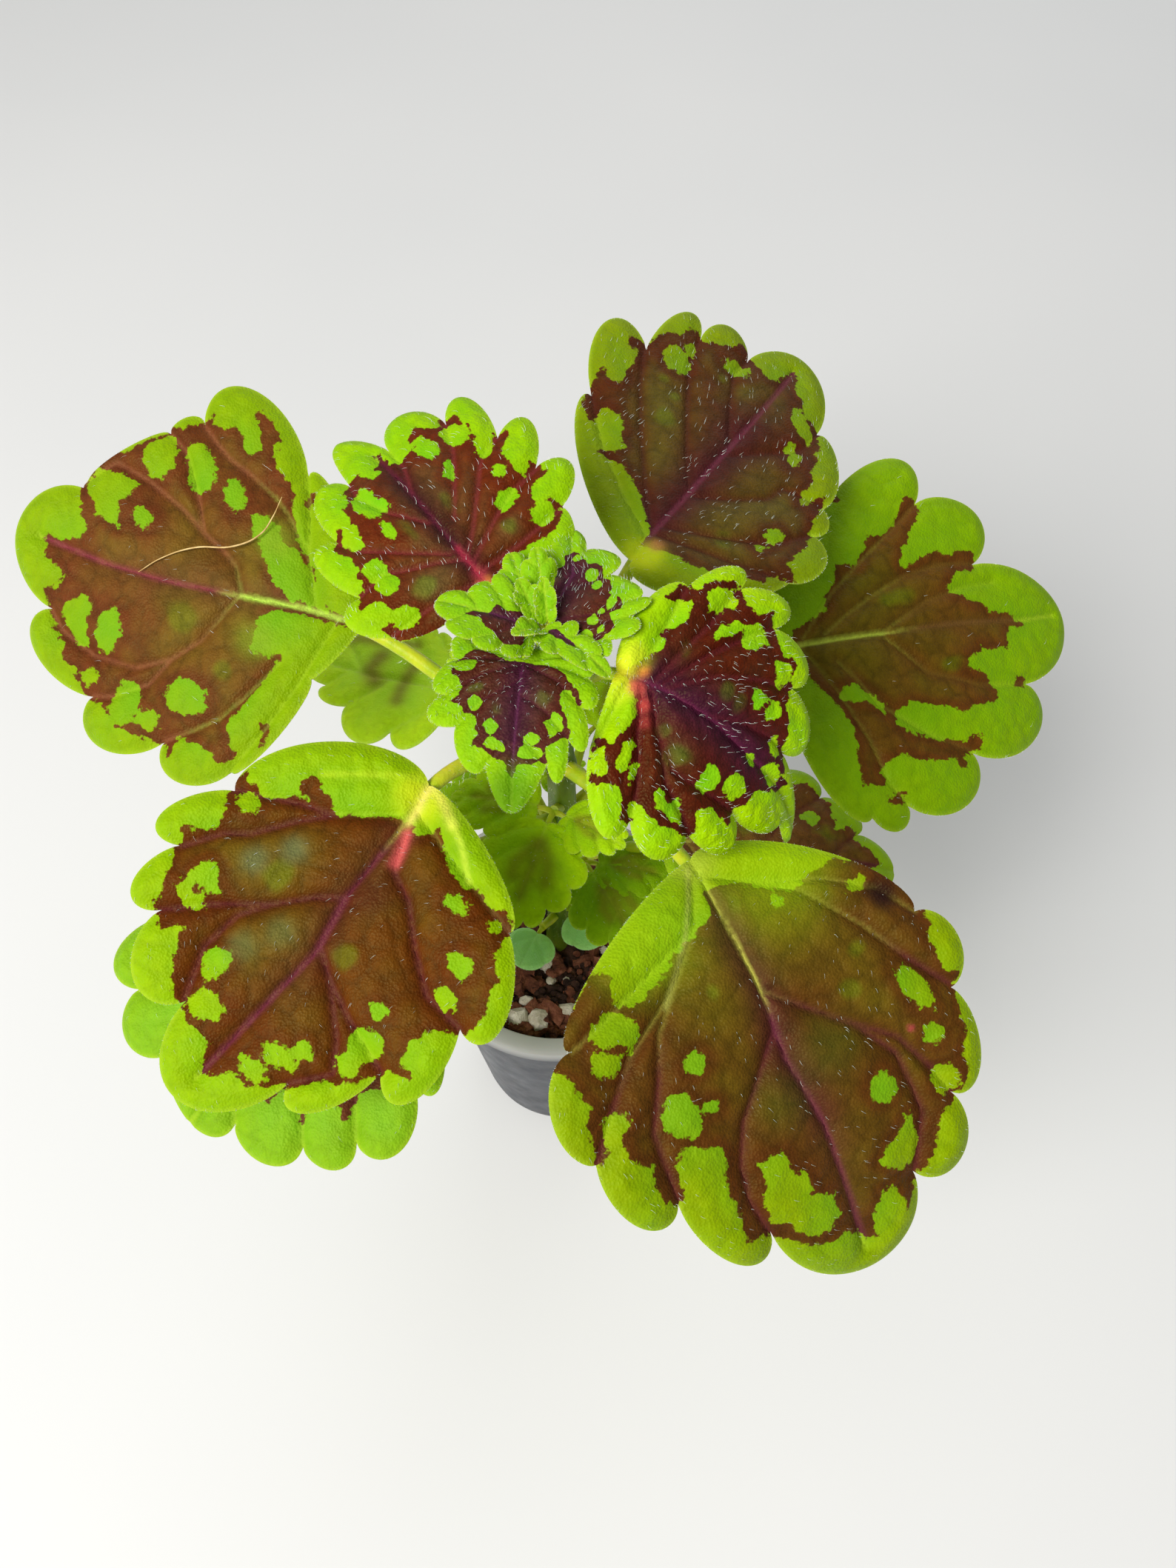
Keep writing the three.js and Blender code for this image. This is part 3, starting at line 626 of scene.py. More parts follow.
# %% Growing hairs
HAIR_WIDTH = 0.03 * MM
HAIR_RINGS = ((0.0, 1.0), (0.4, 0.8), (0.75, 0.5))
THREE_SIDES = (0, 2.094, 4.189)
HAIR_CAPS = [(6, 7, 9), (7, 8, 9), (8, 6, 9), (2, 1, 0)]


def unit(vectors):
    return vectors / np.maximum(np.linalg.norm(vectors, axis=1, keepdims=True), 1e-12)


def grow_hairs(name, roots, ups, leans, lengths, width, seed):
    rng = np.random.default_rng(seed)
    count = len(roots)
    sides = unit(np.cross(ups, leans))
    twist = rng.uniform(-1.5, 1.5, (count, 1))
    leans = leans * np.cos(twist) + sides * np.sin(twist)
    stand = rng.uniform(0.55, 1.0, (count, 1))
    points = []
    for t, thick in HAIR_RINGS:
        centre = roots + lengths[:, None] * (ups * stand * (t - 0.35 * t * t) + leans * 0.9 * t * t)
        for turn in THREE_SIDES:
            ring = sides * math.cos(turn) + np.cross(sides, ups * 0.6 + leans) * math.sin(turn)
            points.append(centre + ring * width * thick)
    points.append(roots + lengths[:, None] * (ups * stand * 0.65 + leans * 0.9))
    corners = [(3 * r + k, 3 * r + (k + 1) % 3) for r in (0, 1) for k in (0, 1, 2)]
    quads = [(a, b, b + 3, a + 3) for a, b in corners]
    first = np.arange(count)[:, None] * 10
    faces = [tuple(row) for part in quads + HAIR_CAPS for row in (first + np.array(part)).tolist()]
    return mesh_object(name, np.stack(points, 1).reshape(-1, 3), faces, hair_white)


def hairs_on_blade(leaf, points, faces, seed):
    rng = np.random.default_rng(seed)
    a, b, c = (points[faces[:, k]] for k in (0, 1, 2))
    normal = np.cross(b - a, c - a)
    area = np.linalg.norm(normal, axis=1) / 2
    count = int(leaf["hairs"] * area.sum() / MM**2)
    pick = rng.choice(len(faces), count, p=area / area.sum())
    share = rng.dirichlet((1, 1, 1), count)
    roots = sum(share[:, k, None] * (a, b, c)[k][pick] for k in (0, 1, 2))
    ups = unit(normal[pick])
    way = math.radians(leaf["heading"])
    ahead = np.tile([math.cos(way), math.sin(way), -0.2], (count, 1))
    leans = ahead - ups * (ahead * ups).sum(1, keepdims=True)
    lengths = rng.uniform(0.5, 1.3, count) * MM * leaf["hair_length"]
    return grow_hairs("hairs", roots, ups, leans, lengths, 0.031 * MM, seed)


def hairs_on_margin(leaf, rim, seed):
    rng = np.random.default_rng(seed)
    count = int(len(rim) * leaf["fringe"])
    pick = rng.integers(0, len(rim), count)
    share = rng.uniform(0, 1, (count, 1))
    following = np.roll(rim, -1, 0)
    roots = rim[pick] * (1 - share) + following[pick] * share
    ahead = unit(following[pick] - rim[pick])
    outward = unit(np.cross(ahead, np.array([0, 0, 1.0])))
    lengths = rng.uniform(0.35, 0.9, count) * MM * leaf["hair_length"]
    return grow_hairs("fringe", roots - outward * 0.0001, outward, ahead * 0.4, lengths, HAIR_WIDTH, seed)


def hairs_on_stalk(way, radius, count, seed):
    rng = np.random.default_rng(seed)
    way = np.array(way, float)
    share = rng.uniform(0.15, len(way) - 1.01, count)
    first = share.astype(int)
    ahead = way[first + 1] - way[first]
    roots = way[first] + ahead * (share - first)[:, None]
    ahead = unit(ahead)
    outward = unit(np.cross(ahead, rng.normal(0, 1, (count, 3))))
    lengths = rng.uniform(0.6, 1.6, count) * MM
    roots = (roots + outward * radius) * MM
    return grow_hairs("stalk_hairs", roots, outward, ahead * 0.5, lengths, HAIR_WIDTH, seed)


print("hair helpers are ready")

# %% [markdown]
# A petiole is a round, tapering stalk from the stem to the blade, and runs on under the blade as its
# midrib. It starts as a curve that is subdivided and laid along the petiole's way, gets a round
# section, and becomes a mesh. All petioles start on the stem's own bent middle line.

# %% Petioles
STEM_FOOT = 48
STEM_TOP = 175
LINE_TOP = 172


def stalk(name, way, radii, skin):
    bpy.ops.curve.primitive_bezier_curve_add()
    line = bpy.context.object
    bpy.ops.object.mode_set(mode="EDIT")
    bpy.ops.curve.select_all(action="SELECT")
    bpy.ops.curve.subdivide(number_cuts=len(way) - 2)
    bpy.ops.object.mode_set(mode="OBJECT")
    for point, place, radius in zip(line.data.splines[0].bezier_points, way, radii):
        point.handle_left_type = point.handle_right_type = "AUTO"
        point.co = Vector(place) * MM
        point.radius = radius
    line.data.bevel_depth = MM
    line.data.bevel_resolution = 4
    line.data.resolution_u = 8
    line.data.use_fill_caps = True
    select_only(line)
    bpy.ops.object.convert(target="MESH")
    line.name = name
    line.data.materials.clear()
    line.data.materials.append(skin)
    bpy.ops.object.shade_smooth()
    return line


def stem_centre(height):
    share = max(0.0, (height - STEM_FOOT) / (LINE_TOP - STEM_FOOT))
    return np.array([1.8 * share + 1.2 * math.sin(math.pi * share), -8 * share**2, height])


print("stem centre at 150 mm:", stem_centre(150).round(2))

# %% [markdown]
# Now one function can build a whole leaf: margin, sheet, quilt, thickness, markings, petiole and hairs.
# A leaf is described by text and a few numbers, all in its own flat millimetres:
# - left, tip and right: the margin, crest and notch in turn
# - dark, light: outlines of the dark middle and of green islands, with a stroke between two outlines
# - spots, faint, dots: ovals of green, of half-hidden green and of dark, each with its place, its two
#   radii and, where it is turned, its angle
# - veins: the midrib first, then the side veins, with a stroke between two veins
# - olive_at, blush: soft round patches, each with its place, radius, strength and, for blush, its paint
# - pale: soft streaks, each with its way, width, strength and paint

# %% Building a leaf
BLADE_THICKNESS = 0.38 * MM
PETIOLE_SHARES = [0.0, 0.07, 0.15, 0.24, 0.34, 0.46, 0.6]
BROWN = dict(
    dark="5C3210", olive="66540F", purple="4C1420", purple_share=0.7, purple_width=3.0, light="88AC00",
    island="6EA60E", side_vein="5E2430", vein="742848", pale_vein="BDBE50", green_vein="A6C02C",
    ribbed=0.45, pale_to=0.3, patchy=0.6,
)
PLAIN_LEAF = dict(
    pitch=0, droop=0, roll=0, twist=0, bend=0, cup=0, dark="", light="", veins="", spots="", faint="",
    dots="", olive_at="", blush="", pale=[], tone={}, step=0.55, hairs=0.1, fringe=1.0, hair_length=1.0,
    tip_fullness=0.55, quilted=0.8,
)


def values(text):
    return [paint(part[1:]) if part[0] == "#" else float(part) for part in text.split(",")]


def make_leaf(name, base, heading, length, left, tip, right, **more):
    leaf = {**PLAIN_LEAF, **more, "heading": heading, "length": length}
    leaf.update(base=np.array(base, float), left=numbers(left), right=numbers(right), tip=numbers(tip)[0])
    tone = {**BROWN, **leaf["tone"]}
    leaf["tone"] = {key: paint(part) if isinstance(part, str) else part for key, part in tone.items()}
    for key in ("dark", "light", "veins"):
        leaf[key] = [numbers(line) for line in leaf[key].split("/") if line]
    for key in ("spots", "faint", "dots", "olive_at", "blush"):
        leaf[key] = [values(item) for item in leaf[key].split()]
    seed = leaf["seed"]
    loop = margin(leaf, leaf["step"])
    flat, faces = flat_sheet(loop, leaf["step"], seed)
    veins = leaf["veins"] or veins_to_notches(leaf)
    leaf.update(loop=loop, veins=veins)
    lift, *net = quilt(leaf, flat, loop, veins, seed)
    points = bend_blade(leaf, flat, lift)
    blade = mesh_object(name, points, faces.tolist(), leaf_face, leaf_underside, leaf_edge)
    depth = green_depth(leaf, flat, seed)
    shown = depth / min(1.0, max(0.3, length / 55))
    blade.data.attributes.new("green_depth", "FLOAT", "POINT").data.foreach_set("value", shown)
    tones = leaf_tones(leaf, flat, loop, veins, depth, net, seed)
    for key, tone in zip(("dark_tone", "light_tone"), tones):
        layer = blade.data.attributes.new(key, "FLOAT_COLOR", "POINT")
        layer.data.foreach_set("color", np.hstack([tone, np.ones((len(flat), 1))]).ravel())
    select_only(blade)
    bpy.ops.object.shade_smooth()
    thickness = BLADE_THICKNESS * min(1.0, length / 30 + 0.2)
    apply_modifier(
        blade, "SOLIDIFY", thickness=thickness, offset=-1.0, material_offset=1, material_offset_rim=2
    )
    bpy.ops.object.shade_smooth_by_angle(angle=math.radians(55))
    fur = hairs_on_blade(leaf, points, faces, seed + 50)
    return [blade, fur, hairs_on_margin(leaf, points[: len(loop)], seed + 70)], leaf


def under_midrib(leaf, shares, radii, sunk=0.3):
    along = np.array(shares) * leaf["length"]
    spots = np.stack([along, np.interp(along, *leaf["veins"][0].T)], 1)
    face = quilt(leaf, spots, leaf["loop"], leaf["veins"], leaf["seed"])[0]
    return list(bend_blade(leaf, spots, face - np.array(radii) - sunk) / MM)


def large_leaf(name, node_height, petiole=(1.4, 0.35), stalk_hairs=60, **shape):
    parts, leaf = make_leaf(name, **shape)
    root = stem_centre(node_height)
    thick, thin = petiole
    radii = [thick * (1 - share) ** 3 * 0.75 + thin * share for share in PETIOLE_SHARES]
    ridge = under_midrib(leaf, PETIOLE_SHARES, radii)
    arch = (root + ridge[0]) / 2 + np.array([0, 0, 1.2])
    parts.append(stalk("petiole", [root, arch, *ridge], [thick, 0.92 * thick, *radii], petiole_skin))
    parts.append(hairs_on_stalk([root, arch, *ridge[:2]], 0.8 * thick, stalk_hairs, shape["seed"]))
    finish_piece(join(parts, name + "_blade"), name)
    return leaf


print("the leaf function is ready")

# %% [markdown]
# ## The five pairs of large leaves
# Leaves stand in opposite pairs, and each pair crosses the one below. Every leaf differs, so each gets a
# cell with its own place, margin and markings. The largest one hangs over the front of the pot.

# %% Third pair, front leaf
large_leaf(
    "leaf_pair_3_front", 138, base=[21, -31, 153.5], heading=-64, length=64, pitch=-10, droop=40, roll=-1,
    bend=0.7, cup=2, quilted=0.7, seed=3, hairs=0.12, hair_length=0.75, tip="63.5,0.5",
    left="5,16 19.5,26 25,30 31,26 41.5,26.5 44.5,20.5 54,19 53,11.5",
    right="8,-18.5 17,-26.5 23,-32.5 31,-29.5 40.5,-27.5 40.5,-21.5 52,-17 50.5,-11",
    dark="""4.5,1 6.2,5 9,9.8 10.2,12 8.5,15 8.5,19 10,22 14,25.5 15,28 19.8,27.5 20,26.5 21.5,27.5 23,25.7
    28.5,25.8 29,28.5 30,27 31,26.6 32,26 35,24.8 37,25.5 40,23.5 42.5,23.8 44.3,21.5 45,20.7 46,20 46,18.5
    47.5,16.5 50,16 52.5,13.5 53,12 54,11.2 55.5,9.8 57,8 54.5,8.3 52.5,7.5 53,5 56,3 58.8,3 59,1.5 57,0.7
    55.5,-1 55.5,-4 54.3,-7 53,-8 51.3,-11 50,-13 49,-15 46,-14.3 41,-14.5 38,-13.3 36,-13.5 35,-16 34,-18.5
    36,-20 40,-20.8 41,-21.6 41,-22 38,-23.5 34,-23 32,-25.5 29,-25 27.5,-23 26,-24 26.5,-27 30,-27.5
    31.2,-29.8 29,-29.3 26,-29 24,-27.3 20.5,-28.5 18,-30 13,-28 12,-24 9,-20 10,-18 12.5,-18.8 14.5,-18
    15,-15.5 13.5,-12 11.5,-9 10.5,-5.5 8,-1 5,-0.5""",
    light="""44,13.5 49,13.8 51.5,11 50.5,8.5 48.5,6.5 47,9 45.5,11 44,12.5 / 40.5,-5.5 44,-5 44.5,-3.5
    48,-4 49,-1 52.5,-1 54,-3 53.5,-6 51,-8 49,-10.5 46,-11 43,-9.5 40.5,-9.5""",
    spots="""17.3,-20.5,3,3.2 20,-23,1.8,2.2 25,-12.3,1.5,1.5 31,-12.5,0.9,1 30.5,-16.7,2.9,2.5
    35.3,20.8,1.6,1.6 28.5,20.6,3.5,1.8,15 42.1,20,1.9,2 39.2,11,2.1,2.1 12.6,19.7,1,1.8 10.3,8.3,1.1,0.8""",
    faint="8.3,2.5,1.5,0.8 20.5,15.5,1.2,1.8 25,12,1.4,1.6 17.5,-6,1.2,1",
    dots="18.9,-21.9,3.8,0.5,64",
    veins="""0,0 20,0.7 30,0 40,1.5 50,1.3 60,1.2 / 3,1 10,12 14,15 18,18 25,22 30.5,26 / 3,0.5 7,8 10,16
    14,22 19.5,26 / 20.5,0.8 30,11 36,15 45,15.5 53,11.5 / 29,10 34,16 40,19 44.5,20.5 / 3,-1 9,-4 15,-10
    20,-15 25,-17.5 31,-21 40.5,-21.3 / 9,-4 12,-12 15,-20 17,-26.5 / 15,-10 21,-20 26,-25 31,-29.5 / 26,0
    30,-4 35,-9 40,-11.5 45,-12.3 50.5,-11.2""",
    olive_at="20,-6,5,0.6 15,8,5,0.5 14,3,5,0.6",
    blush="""0,0,3.5,0.5,#B4C040 33.5,18,0.5,0.7,#B04048 15.4,22.6,2.3,0.95,#220810 31,6,4.5,0.4,#405212
    35,-3,4,0.35,#405212 5,10,9,0.45,#98C008 7,-12,8,0.45,#90BE10""",
    pale=[("1,-1 5,-3 10,-6 17,-12.5", 0.35, 0.5, "B8BC5A")],
    tone=dict(dark="5C3A0E", olive="665A0C", vein="6C2C40", light="819A00", island="66990E", ribbed=0.6),
)

# %% Fourth pair, front leaf
large_leaf(
    "leaf_pair_4_front", 151, base=[-16, -20.5, 156.5], heading=-127, length=55, pitch=-16, droop=8,
    roll=-9, twist=-5, bend=-3, cup=1, seed=4, hairs=0.1, hair_length=0.8, stalk_hairs=200, tip="55,0",
    left="3.5,14 10.5,22 21,29 25,24.5 36.5,25.5 36,19.5 46,15.5 44.5,10.5",
    right="3,-15.5 16.5,-22 24.5,-28 27,-23 35,-24.5 35.5,-19 45,-16 43.5,-8",
    dark="""6.3,0.3 6.2,1.8 6.6,3.7 4.4,4.9 5,6.5 7.5,9 9,12 8.5,15 9,18 8.5,20 9.5,22.5 10.8,22.6 11.5,21.8
    14,22.5 17,25 19,25 21,26.5 24,26 25.3,25 26.3,23.5 27.5,21.5 30,20.3 33,20.8 33.5,23.2 34.5,23.2
    35,20.5 36.6,19.8 38,18.5 40.5,16.5 41,14 43,12.5 45.2,11.2 45,9.5 46.5,8.5 48,6.5 47,3.5 49,2 50.3,0
    46,-1.5 45.5,-4 44.7,-7 44.3,-8.4 43.5,-10 40.5,-12.5 38,-13.5 35.5,-14.5 35.5,-15.5 37.5,-17.5
    36.5,-18.5 36.2,-19.6 35.5,-20.5 33.5,-20 30,-21.5 28,-23.3 27.2,-23.8 26,-23.3 24.5,-24.5 24,-22.5
    22,-20.3 19,-21 17.3,-22.5 16,-22.8 13,-22.5 14,-21 14.8,-19 14.5,-16.5 12.5,-15 11.5,-12.5 10.5,-15
    8.2,-14 9,-11 11,-8 6.3,-0.6""",
    spots="""11.5,14,1.3,1.9 11,20,1,1 18,19.4,1.6,2 22.8,20.5,1.3,1.8 34.2,15.5,2.3,2.6 37.4,15.4,1.9,1.9
    29.4,14.4,1.1,1.3 39.6,9.5,1.4,1.4 42,7.4,1.6,2.7 45.4,5.5,1.3,2.3 16.7,-19.1,1.5,1.8 28,-17,2,1.8
    29,-15.5,1,1.5 31.8,-16.5,1.2,2.2 30.3,-18,2,1 37,-8,2.4,2 42.3,-5.3,2.1,2.8""",
    faint="26,6,2,2 22,-9,2.5,2",
    veins="""0,0 6,0.8 20,0.5 28,2 35,1.3 45,0.5 51,0 / 6,1 13,4 15,8 20,13 24,18 25,24.5 / 4,1 6,7 8,14
    10.5,22 / 20,1 27,2 30,6 33,9 36,12 40,14.5 44.5,10.5 / 30,6 33,12 34.5,16 36,19.5 / 6,-1 11,-8 15,-12
    20,-16 22,-19 27,-22.7 / 11,-8 13,-14 16.5,-22 / 20,0 22,-3 26,-7 30,-10 36,-11 43.5,-8.3 / 26,-7 31,-14
    35.5,-19""",
    olive_at="28,-3,4,0.7 33,-6,4,0.7 18,-9,4,0.7 22,-13,4,0.7",
    blush="""2,0.5,3.4,0.8,#CCD41E 17,3.5,3.5,0.6,#4A1410 18.3,-9.3,2,0.55,#62724A 22.5,-12.8,2,0.55,#62724A
    33,-6.5,2.2,0.5,#5E6C3A 28.5,-3.4,2.2,0.45,#5E6C3A""",
    pale=[
        ("-0.2,0.8 1.4,4.2 2.8,6.6", 0.7, 0.8, "E2DE58"),
        ("2.2,5.8 4.2,9 6.4,11.5 8,13.2", 0.45, 0.6, "CCDC44"),
        ("0,0.3 3,0.8 5.8,1.1", 0.7, 0.85, "DCCB64"), ("0,-1 1.5,-4 4,-8 7.5,-13", 0.4, 0.45, "B8D028"),
        ("7.4,1.8 9.4,2.6 11.8,3.1", 0.8, 0.95, "CE5A58"),
    ],
    tone=dict(dark="623406", olive="66540E", vein="6E2840", pale_to=0.13, purple_share=0.4, ribbed=0.65),
)

# %% Third pair, back leaf
third_back = large_leaf(
    "leaf_pair_3_back", 138, base=[-29, 9.5, 155.5], heading=162, length=62, pitch=2, droop=4, roll=-22,
    twist=-13, bend=-1, cup=-2, quilted=0.65, seed=5, hairs=0.02, fringe=0.9, tip="62.5,-1",
    left="2,5.5 5,10 7.5,20.5 13.5,27.5 22.5,31.5 26.5,26 38.5,30 42,22.5 54.5,18 53,10.5",
    right="8,-16 17,-22 30,-33.5 36,-25.5 39,-26 41,-22.5 48,-17.5 52.5,-10",
    dark="""2,0.3 8,0.5 13.5,1 16,3 16,8 14,9 11,8.2 12,11 13.5,15 15.5,19 16,21 15,23.5 13.5,24.5 14,26
    16,27 17,25.3 20,25 22.5,24.7 24.5,25 24,27.5 24.8,28.3 25.5,26.7 26.7,26.6 27.5,26.2 30,26.5 33,26
    35,26 36,25.3 38,24 40,22.9 42.2,23.2 43.5,21.8 45,20.5 45.5,18.5 47.5,18.5 48.5,17 49,15.5 51,13.5
    52.5,11.7 53.5,10.8 53.6,9 55,7.5 52.5,7 51,4.5 53,3.5 55.5,2.5 56,1 57.5,-0.8 54,-1 51.5,-1.5 50,-1.8
    49,-3 50,-5 51,-7 52.9,-9.9 52.2,-11 51,-14 49,-17 46.5,-17.5 45,-19 44,-20 42.3,-21.7 41.4,-22.9
    40,-23.5 38,-24.3 36,-26 35,-27.8 34.2,-25.5 32,-25.3 30,-26.5 28.8,-25 28,-23 26.5,-22.4 25.5,-24
    26.3,-27 28.5,-29.8 27.5,-30.3 24.5,-28.5 22.5,-26 22.5,-24.5 23.3,-25 22.3,-22.5 21,-20.5 18.5,-19.5
    17.5,-18 17,-15.5 15.5,-12 13.5,-9.5 12,-8.8 10,-6.5 9,-4 6,-1.5 2,-0.5""",
    light="""44.3,15 47,15 48.5,13 51,10.5 50,9 47,7 45,8 45.5,11 / 44,-5 45.5,-5.5 46.5,-6.5 48,-6 49,-8
    51.5,-10 52,-11.5 50,-13.8 46,-14 43,-13 43,-11 45.5,-9 44.5,-7.5 / 5,-0.9 12,-1.3 16,-3.4 19,-7
    21.5,-9.8 22.6,-12.5 21,-13.5 18.5,-12.5 16.5,-10 13.5,-9.3 11,-7 8,-4""",
    spots="""24.2,18.3,3.8,2.8 29.8,23.5,2.3,1.6 35,22,3,3.6 42.5,19.5,1.5,1.3 41,11.5,2.5,3.5
    40.3,-7.7,1.9,1.6 26.7,-15.3,1.6,2.8,25 33.8,-18.2,2.6,4.2,30 40.7,-18.2,2.7,3.7""",
    faint="19.5,12.5,1.8,1.8 29,6,3,2 14,6,2,3",
    dots="9.8,20,0.6,2,20 15,-18,0.7,1.3",
    veins="""0,-0.5 10,-0.6 20,0.3 35,1.2 45,1 58,-0.5 / 21,0.5 23,5 25,9 29,13 35,16 43,16 50,13.5 53,10.7
    / 11,9 12,11 15,16 18,20 22,23 26.3,25.8 / 29,13 32,18 38,21.5 42,22.5 / 20.5,0 23,-4 25,-5.5 30,-8
    35,-11 42,-14 48,-15.5 52.5,-11 / 30,-8 33,-14 37,-20 41,-22.5 / 12,-9 17,-14 20,-16.5 25,-19 30,-21
    33,-23 36,-25.3 / 8,-1 12,-9 14,-15 17,-22 / 4,0 7,12 10,20 13.5,27""",
    olive_at="18,5,6,0.8 18,-4,6,0.8 28,3,5,0.5",
    blush="18,-10,3.6,0.6,#7C9420 15.5,6.5,3.2,0.6,#7C9420",
    pale=[("0,-0.5 10,-0.6 20,0.3", 0.4, 0.8, "B4DC50")],
    tone=dict(
        dark="6C3C18", olive="706018", purple="6A3A2C", purple_share=0.35, side_vein="90583C",
        vein="8A3A48", pale_to=0.33, pale_vein="BADC58", light="80A002", island="6C9E10", ribbed=0.3,
    ),
)

# %% [markdown]
# A dry root fibre has blown onto this leaf and lies across it. It is a thin tapering tube that follows
# the face of the blade.

# %% Dry fibre on the third pair's back leaf
FIBRE_WAY = "38.5,1 35,-2 30,-5 23.5,-7 20,-10 19,-13 18.3,-16.5"
FIBRE_LIFT = [0.7, 1.3, 1.5, 1.5, 1.6, 1.8, 2.6]
FIBRE_RADII = [0.06, 0.1, 0.13, 0.14, 0.13, 0.11, 0.06]

fibre_skin, tree, shader = start_material("fibre_skin", Roughness=0.7)
tan = ramp(tree, grain(tree, 600, 3), (0.35, "B08A4C"), (0.65, "D8BC80"))
tree.links.new(tan, shader.inputs["Base Color"])
way = bend_blade(third_back, numbers(FIBRE_WAY), np.array(FIBRE_LIFT)) / MM
fibre = stalk("fibre", way, FIBRE_RADII, fibre_skin)
finish_piece(join([fibre], "dry_fibre"), "leaf_pair_3_back")

# %% Fourth pair, back leaf
large_leaf(
    "leaf_pair_4_back", 151, base=[13.5, 16.1, 164], heading=55, length=59, droop=4, roll=5, twist=14,
    bend=2, cup=1, quilted=0.42, seed=6, hairs=0.18, hair_length=0.85, tip="58,-1",
    left="10.5,17.5 23,24 36.5,31 37.5,22.5 49,22 46,16.5 53,14.5 49.5,8",
    right="-1,-11 12,-21.5 19,-24.5 24,-19.5 27.5,-21 30.5,-18 40.5,-16.5 45.5,-9.5",
    dark="""3.5,0.4 5.5,0.8 7.5,2 11.5,6 12.5,8 14,11 14,13 14.5,15 14,16.5 15.5,16 16,14 17.5,13.5 18.5,15
    20.5,15.5 22,17.5 22.5,20 21.5,21 18.5,20.5 18,21.5 19.5,23.5 21,24.7 23.1,25 24,24.4 27.5,26 28.5,25
    26.5,23.5 27.5,21.5 28.5,21.2 30.5,22 33.5,22.3 34.5,22.5 35.5,23 35,25.5 36.5,26 37.5,25 38.2,23.2
    40.5,22.5 42.5,21.5 43.5,19.5 45.5,19 47,18.5 46.7,17.2 46,16 47,14 48,12.5 49.5,11 51,10.5 51,8.8
    50.3,7.6 49,6 48.5,3 50,1.5 53.5,0.8 54.5,0.5 53.5,-0.5 51,-1.5 49,-3 48,-4.5 46.5,-6 46,-8.5 46,-9.9
    44.5,-10 41.5,-11.5 37.5,-12.5 33.5,-14.2 29.5,-14.2 28,-15 28.5,-16 31.5,-16.3 33,-17 31,-18.3 29.5,-18
    25.5,-18.5 24,-19 24.2,-20.3 23,-19.5 22,-19.5 20,-20 16.5,-20 14.5,-19.5 14,-20.5 12.5,-22.5 11.7,-22.3
    11.5,-19.5 10.5,-18.5 8.5,-18.5 7.5,-16 5.5,-14 5,-10 4.3,-6 3.5,-2""",
    light="41.5,-9.5 42.5,-6 43.5,-4.5 46.5,-3.5 47,-5 45.5,-7 44,-9 42,-9.8",
    spots="""39,17,2.5,2.7 42.8,16.5,1.3,1.1 46,8.5,1.6,2.5,20 36.5,-9.3,1.8,1.1 38,-7.6,1.3,0.9
    18.5,-15,1.7,1.4 15.2,-14.3,0.9,0.8""",
    faint="34,16.5,1,1.2 32.5,13,1,1 42,9,1,0.9 12.5,-9,1.8,1.6 27.5,12,2,2",
    dots="15.8,4.6,0.5,0.5",
    veins="""0,0 3.5,0.4 23.5,0.5 38.5,0.3 54.5,0.5 / 7.5,1 15.5,8 23.5,14 30.5,19 37.5,22.8 / 5.5,1 10.5,9
    15.5,16 23,24 / 18.5,1 25.5,6 33.5,11 40.5,15 46,16.7 / 31.5,1 38.5,5 44.5,8 49.5,8 / 8.5,0 12.5,-8
    17.5,-16 24,-19.7 / 6.5,0 8.5,-8 11.8,-21 / 17.5,-0.5 21.5,-6 25.5,-10 29.5,-11 31,-17.5 / 28.5,0
    35.5,-6 40.5,-9.5 45.5,-9.7""",
    olive_at="19.5,9,6,0.8 29.5,13,6,0.7 15.5,-7,6,0.8 28.5,-8,6,0.6 11.5,-12,4,0.7",
    blush="1,-1,3.4,0.75,#C8D418 4.3,-1.6,1.4,0.5,#B8704A",
    tone=dict(
        dark="52260E", olive="5C5218", purple="44101C", purple_share=0.9, patchy=0.8, vein="6A2A40",
        pale_vein="8A4A48", pale_to=0.01, light="788C00", island="6A940E", side_vein="4A1C18", ribbed=0.5,
        purple_width=4.5,
    ),
)

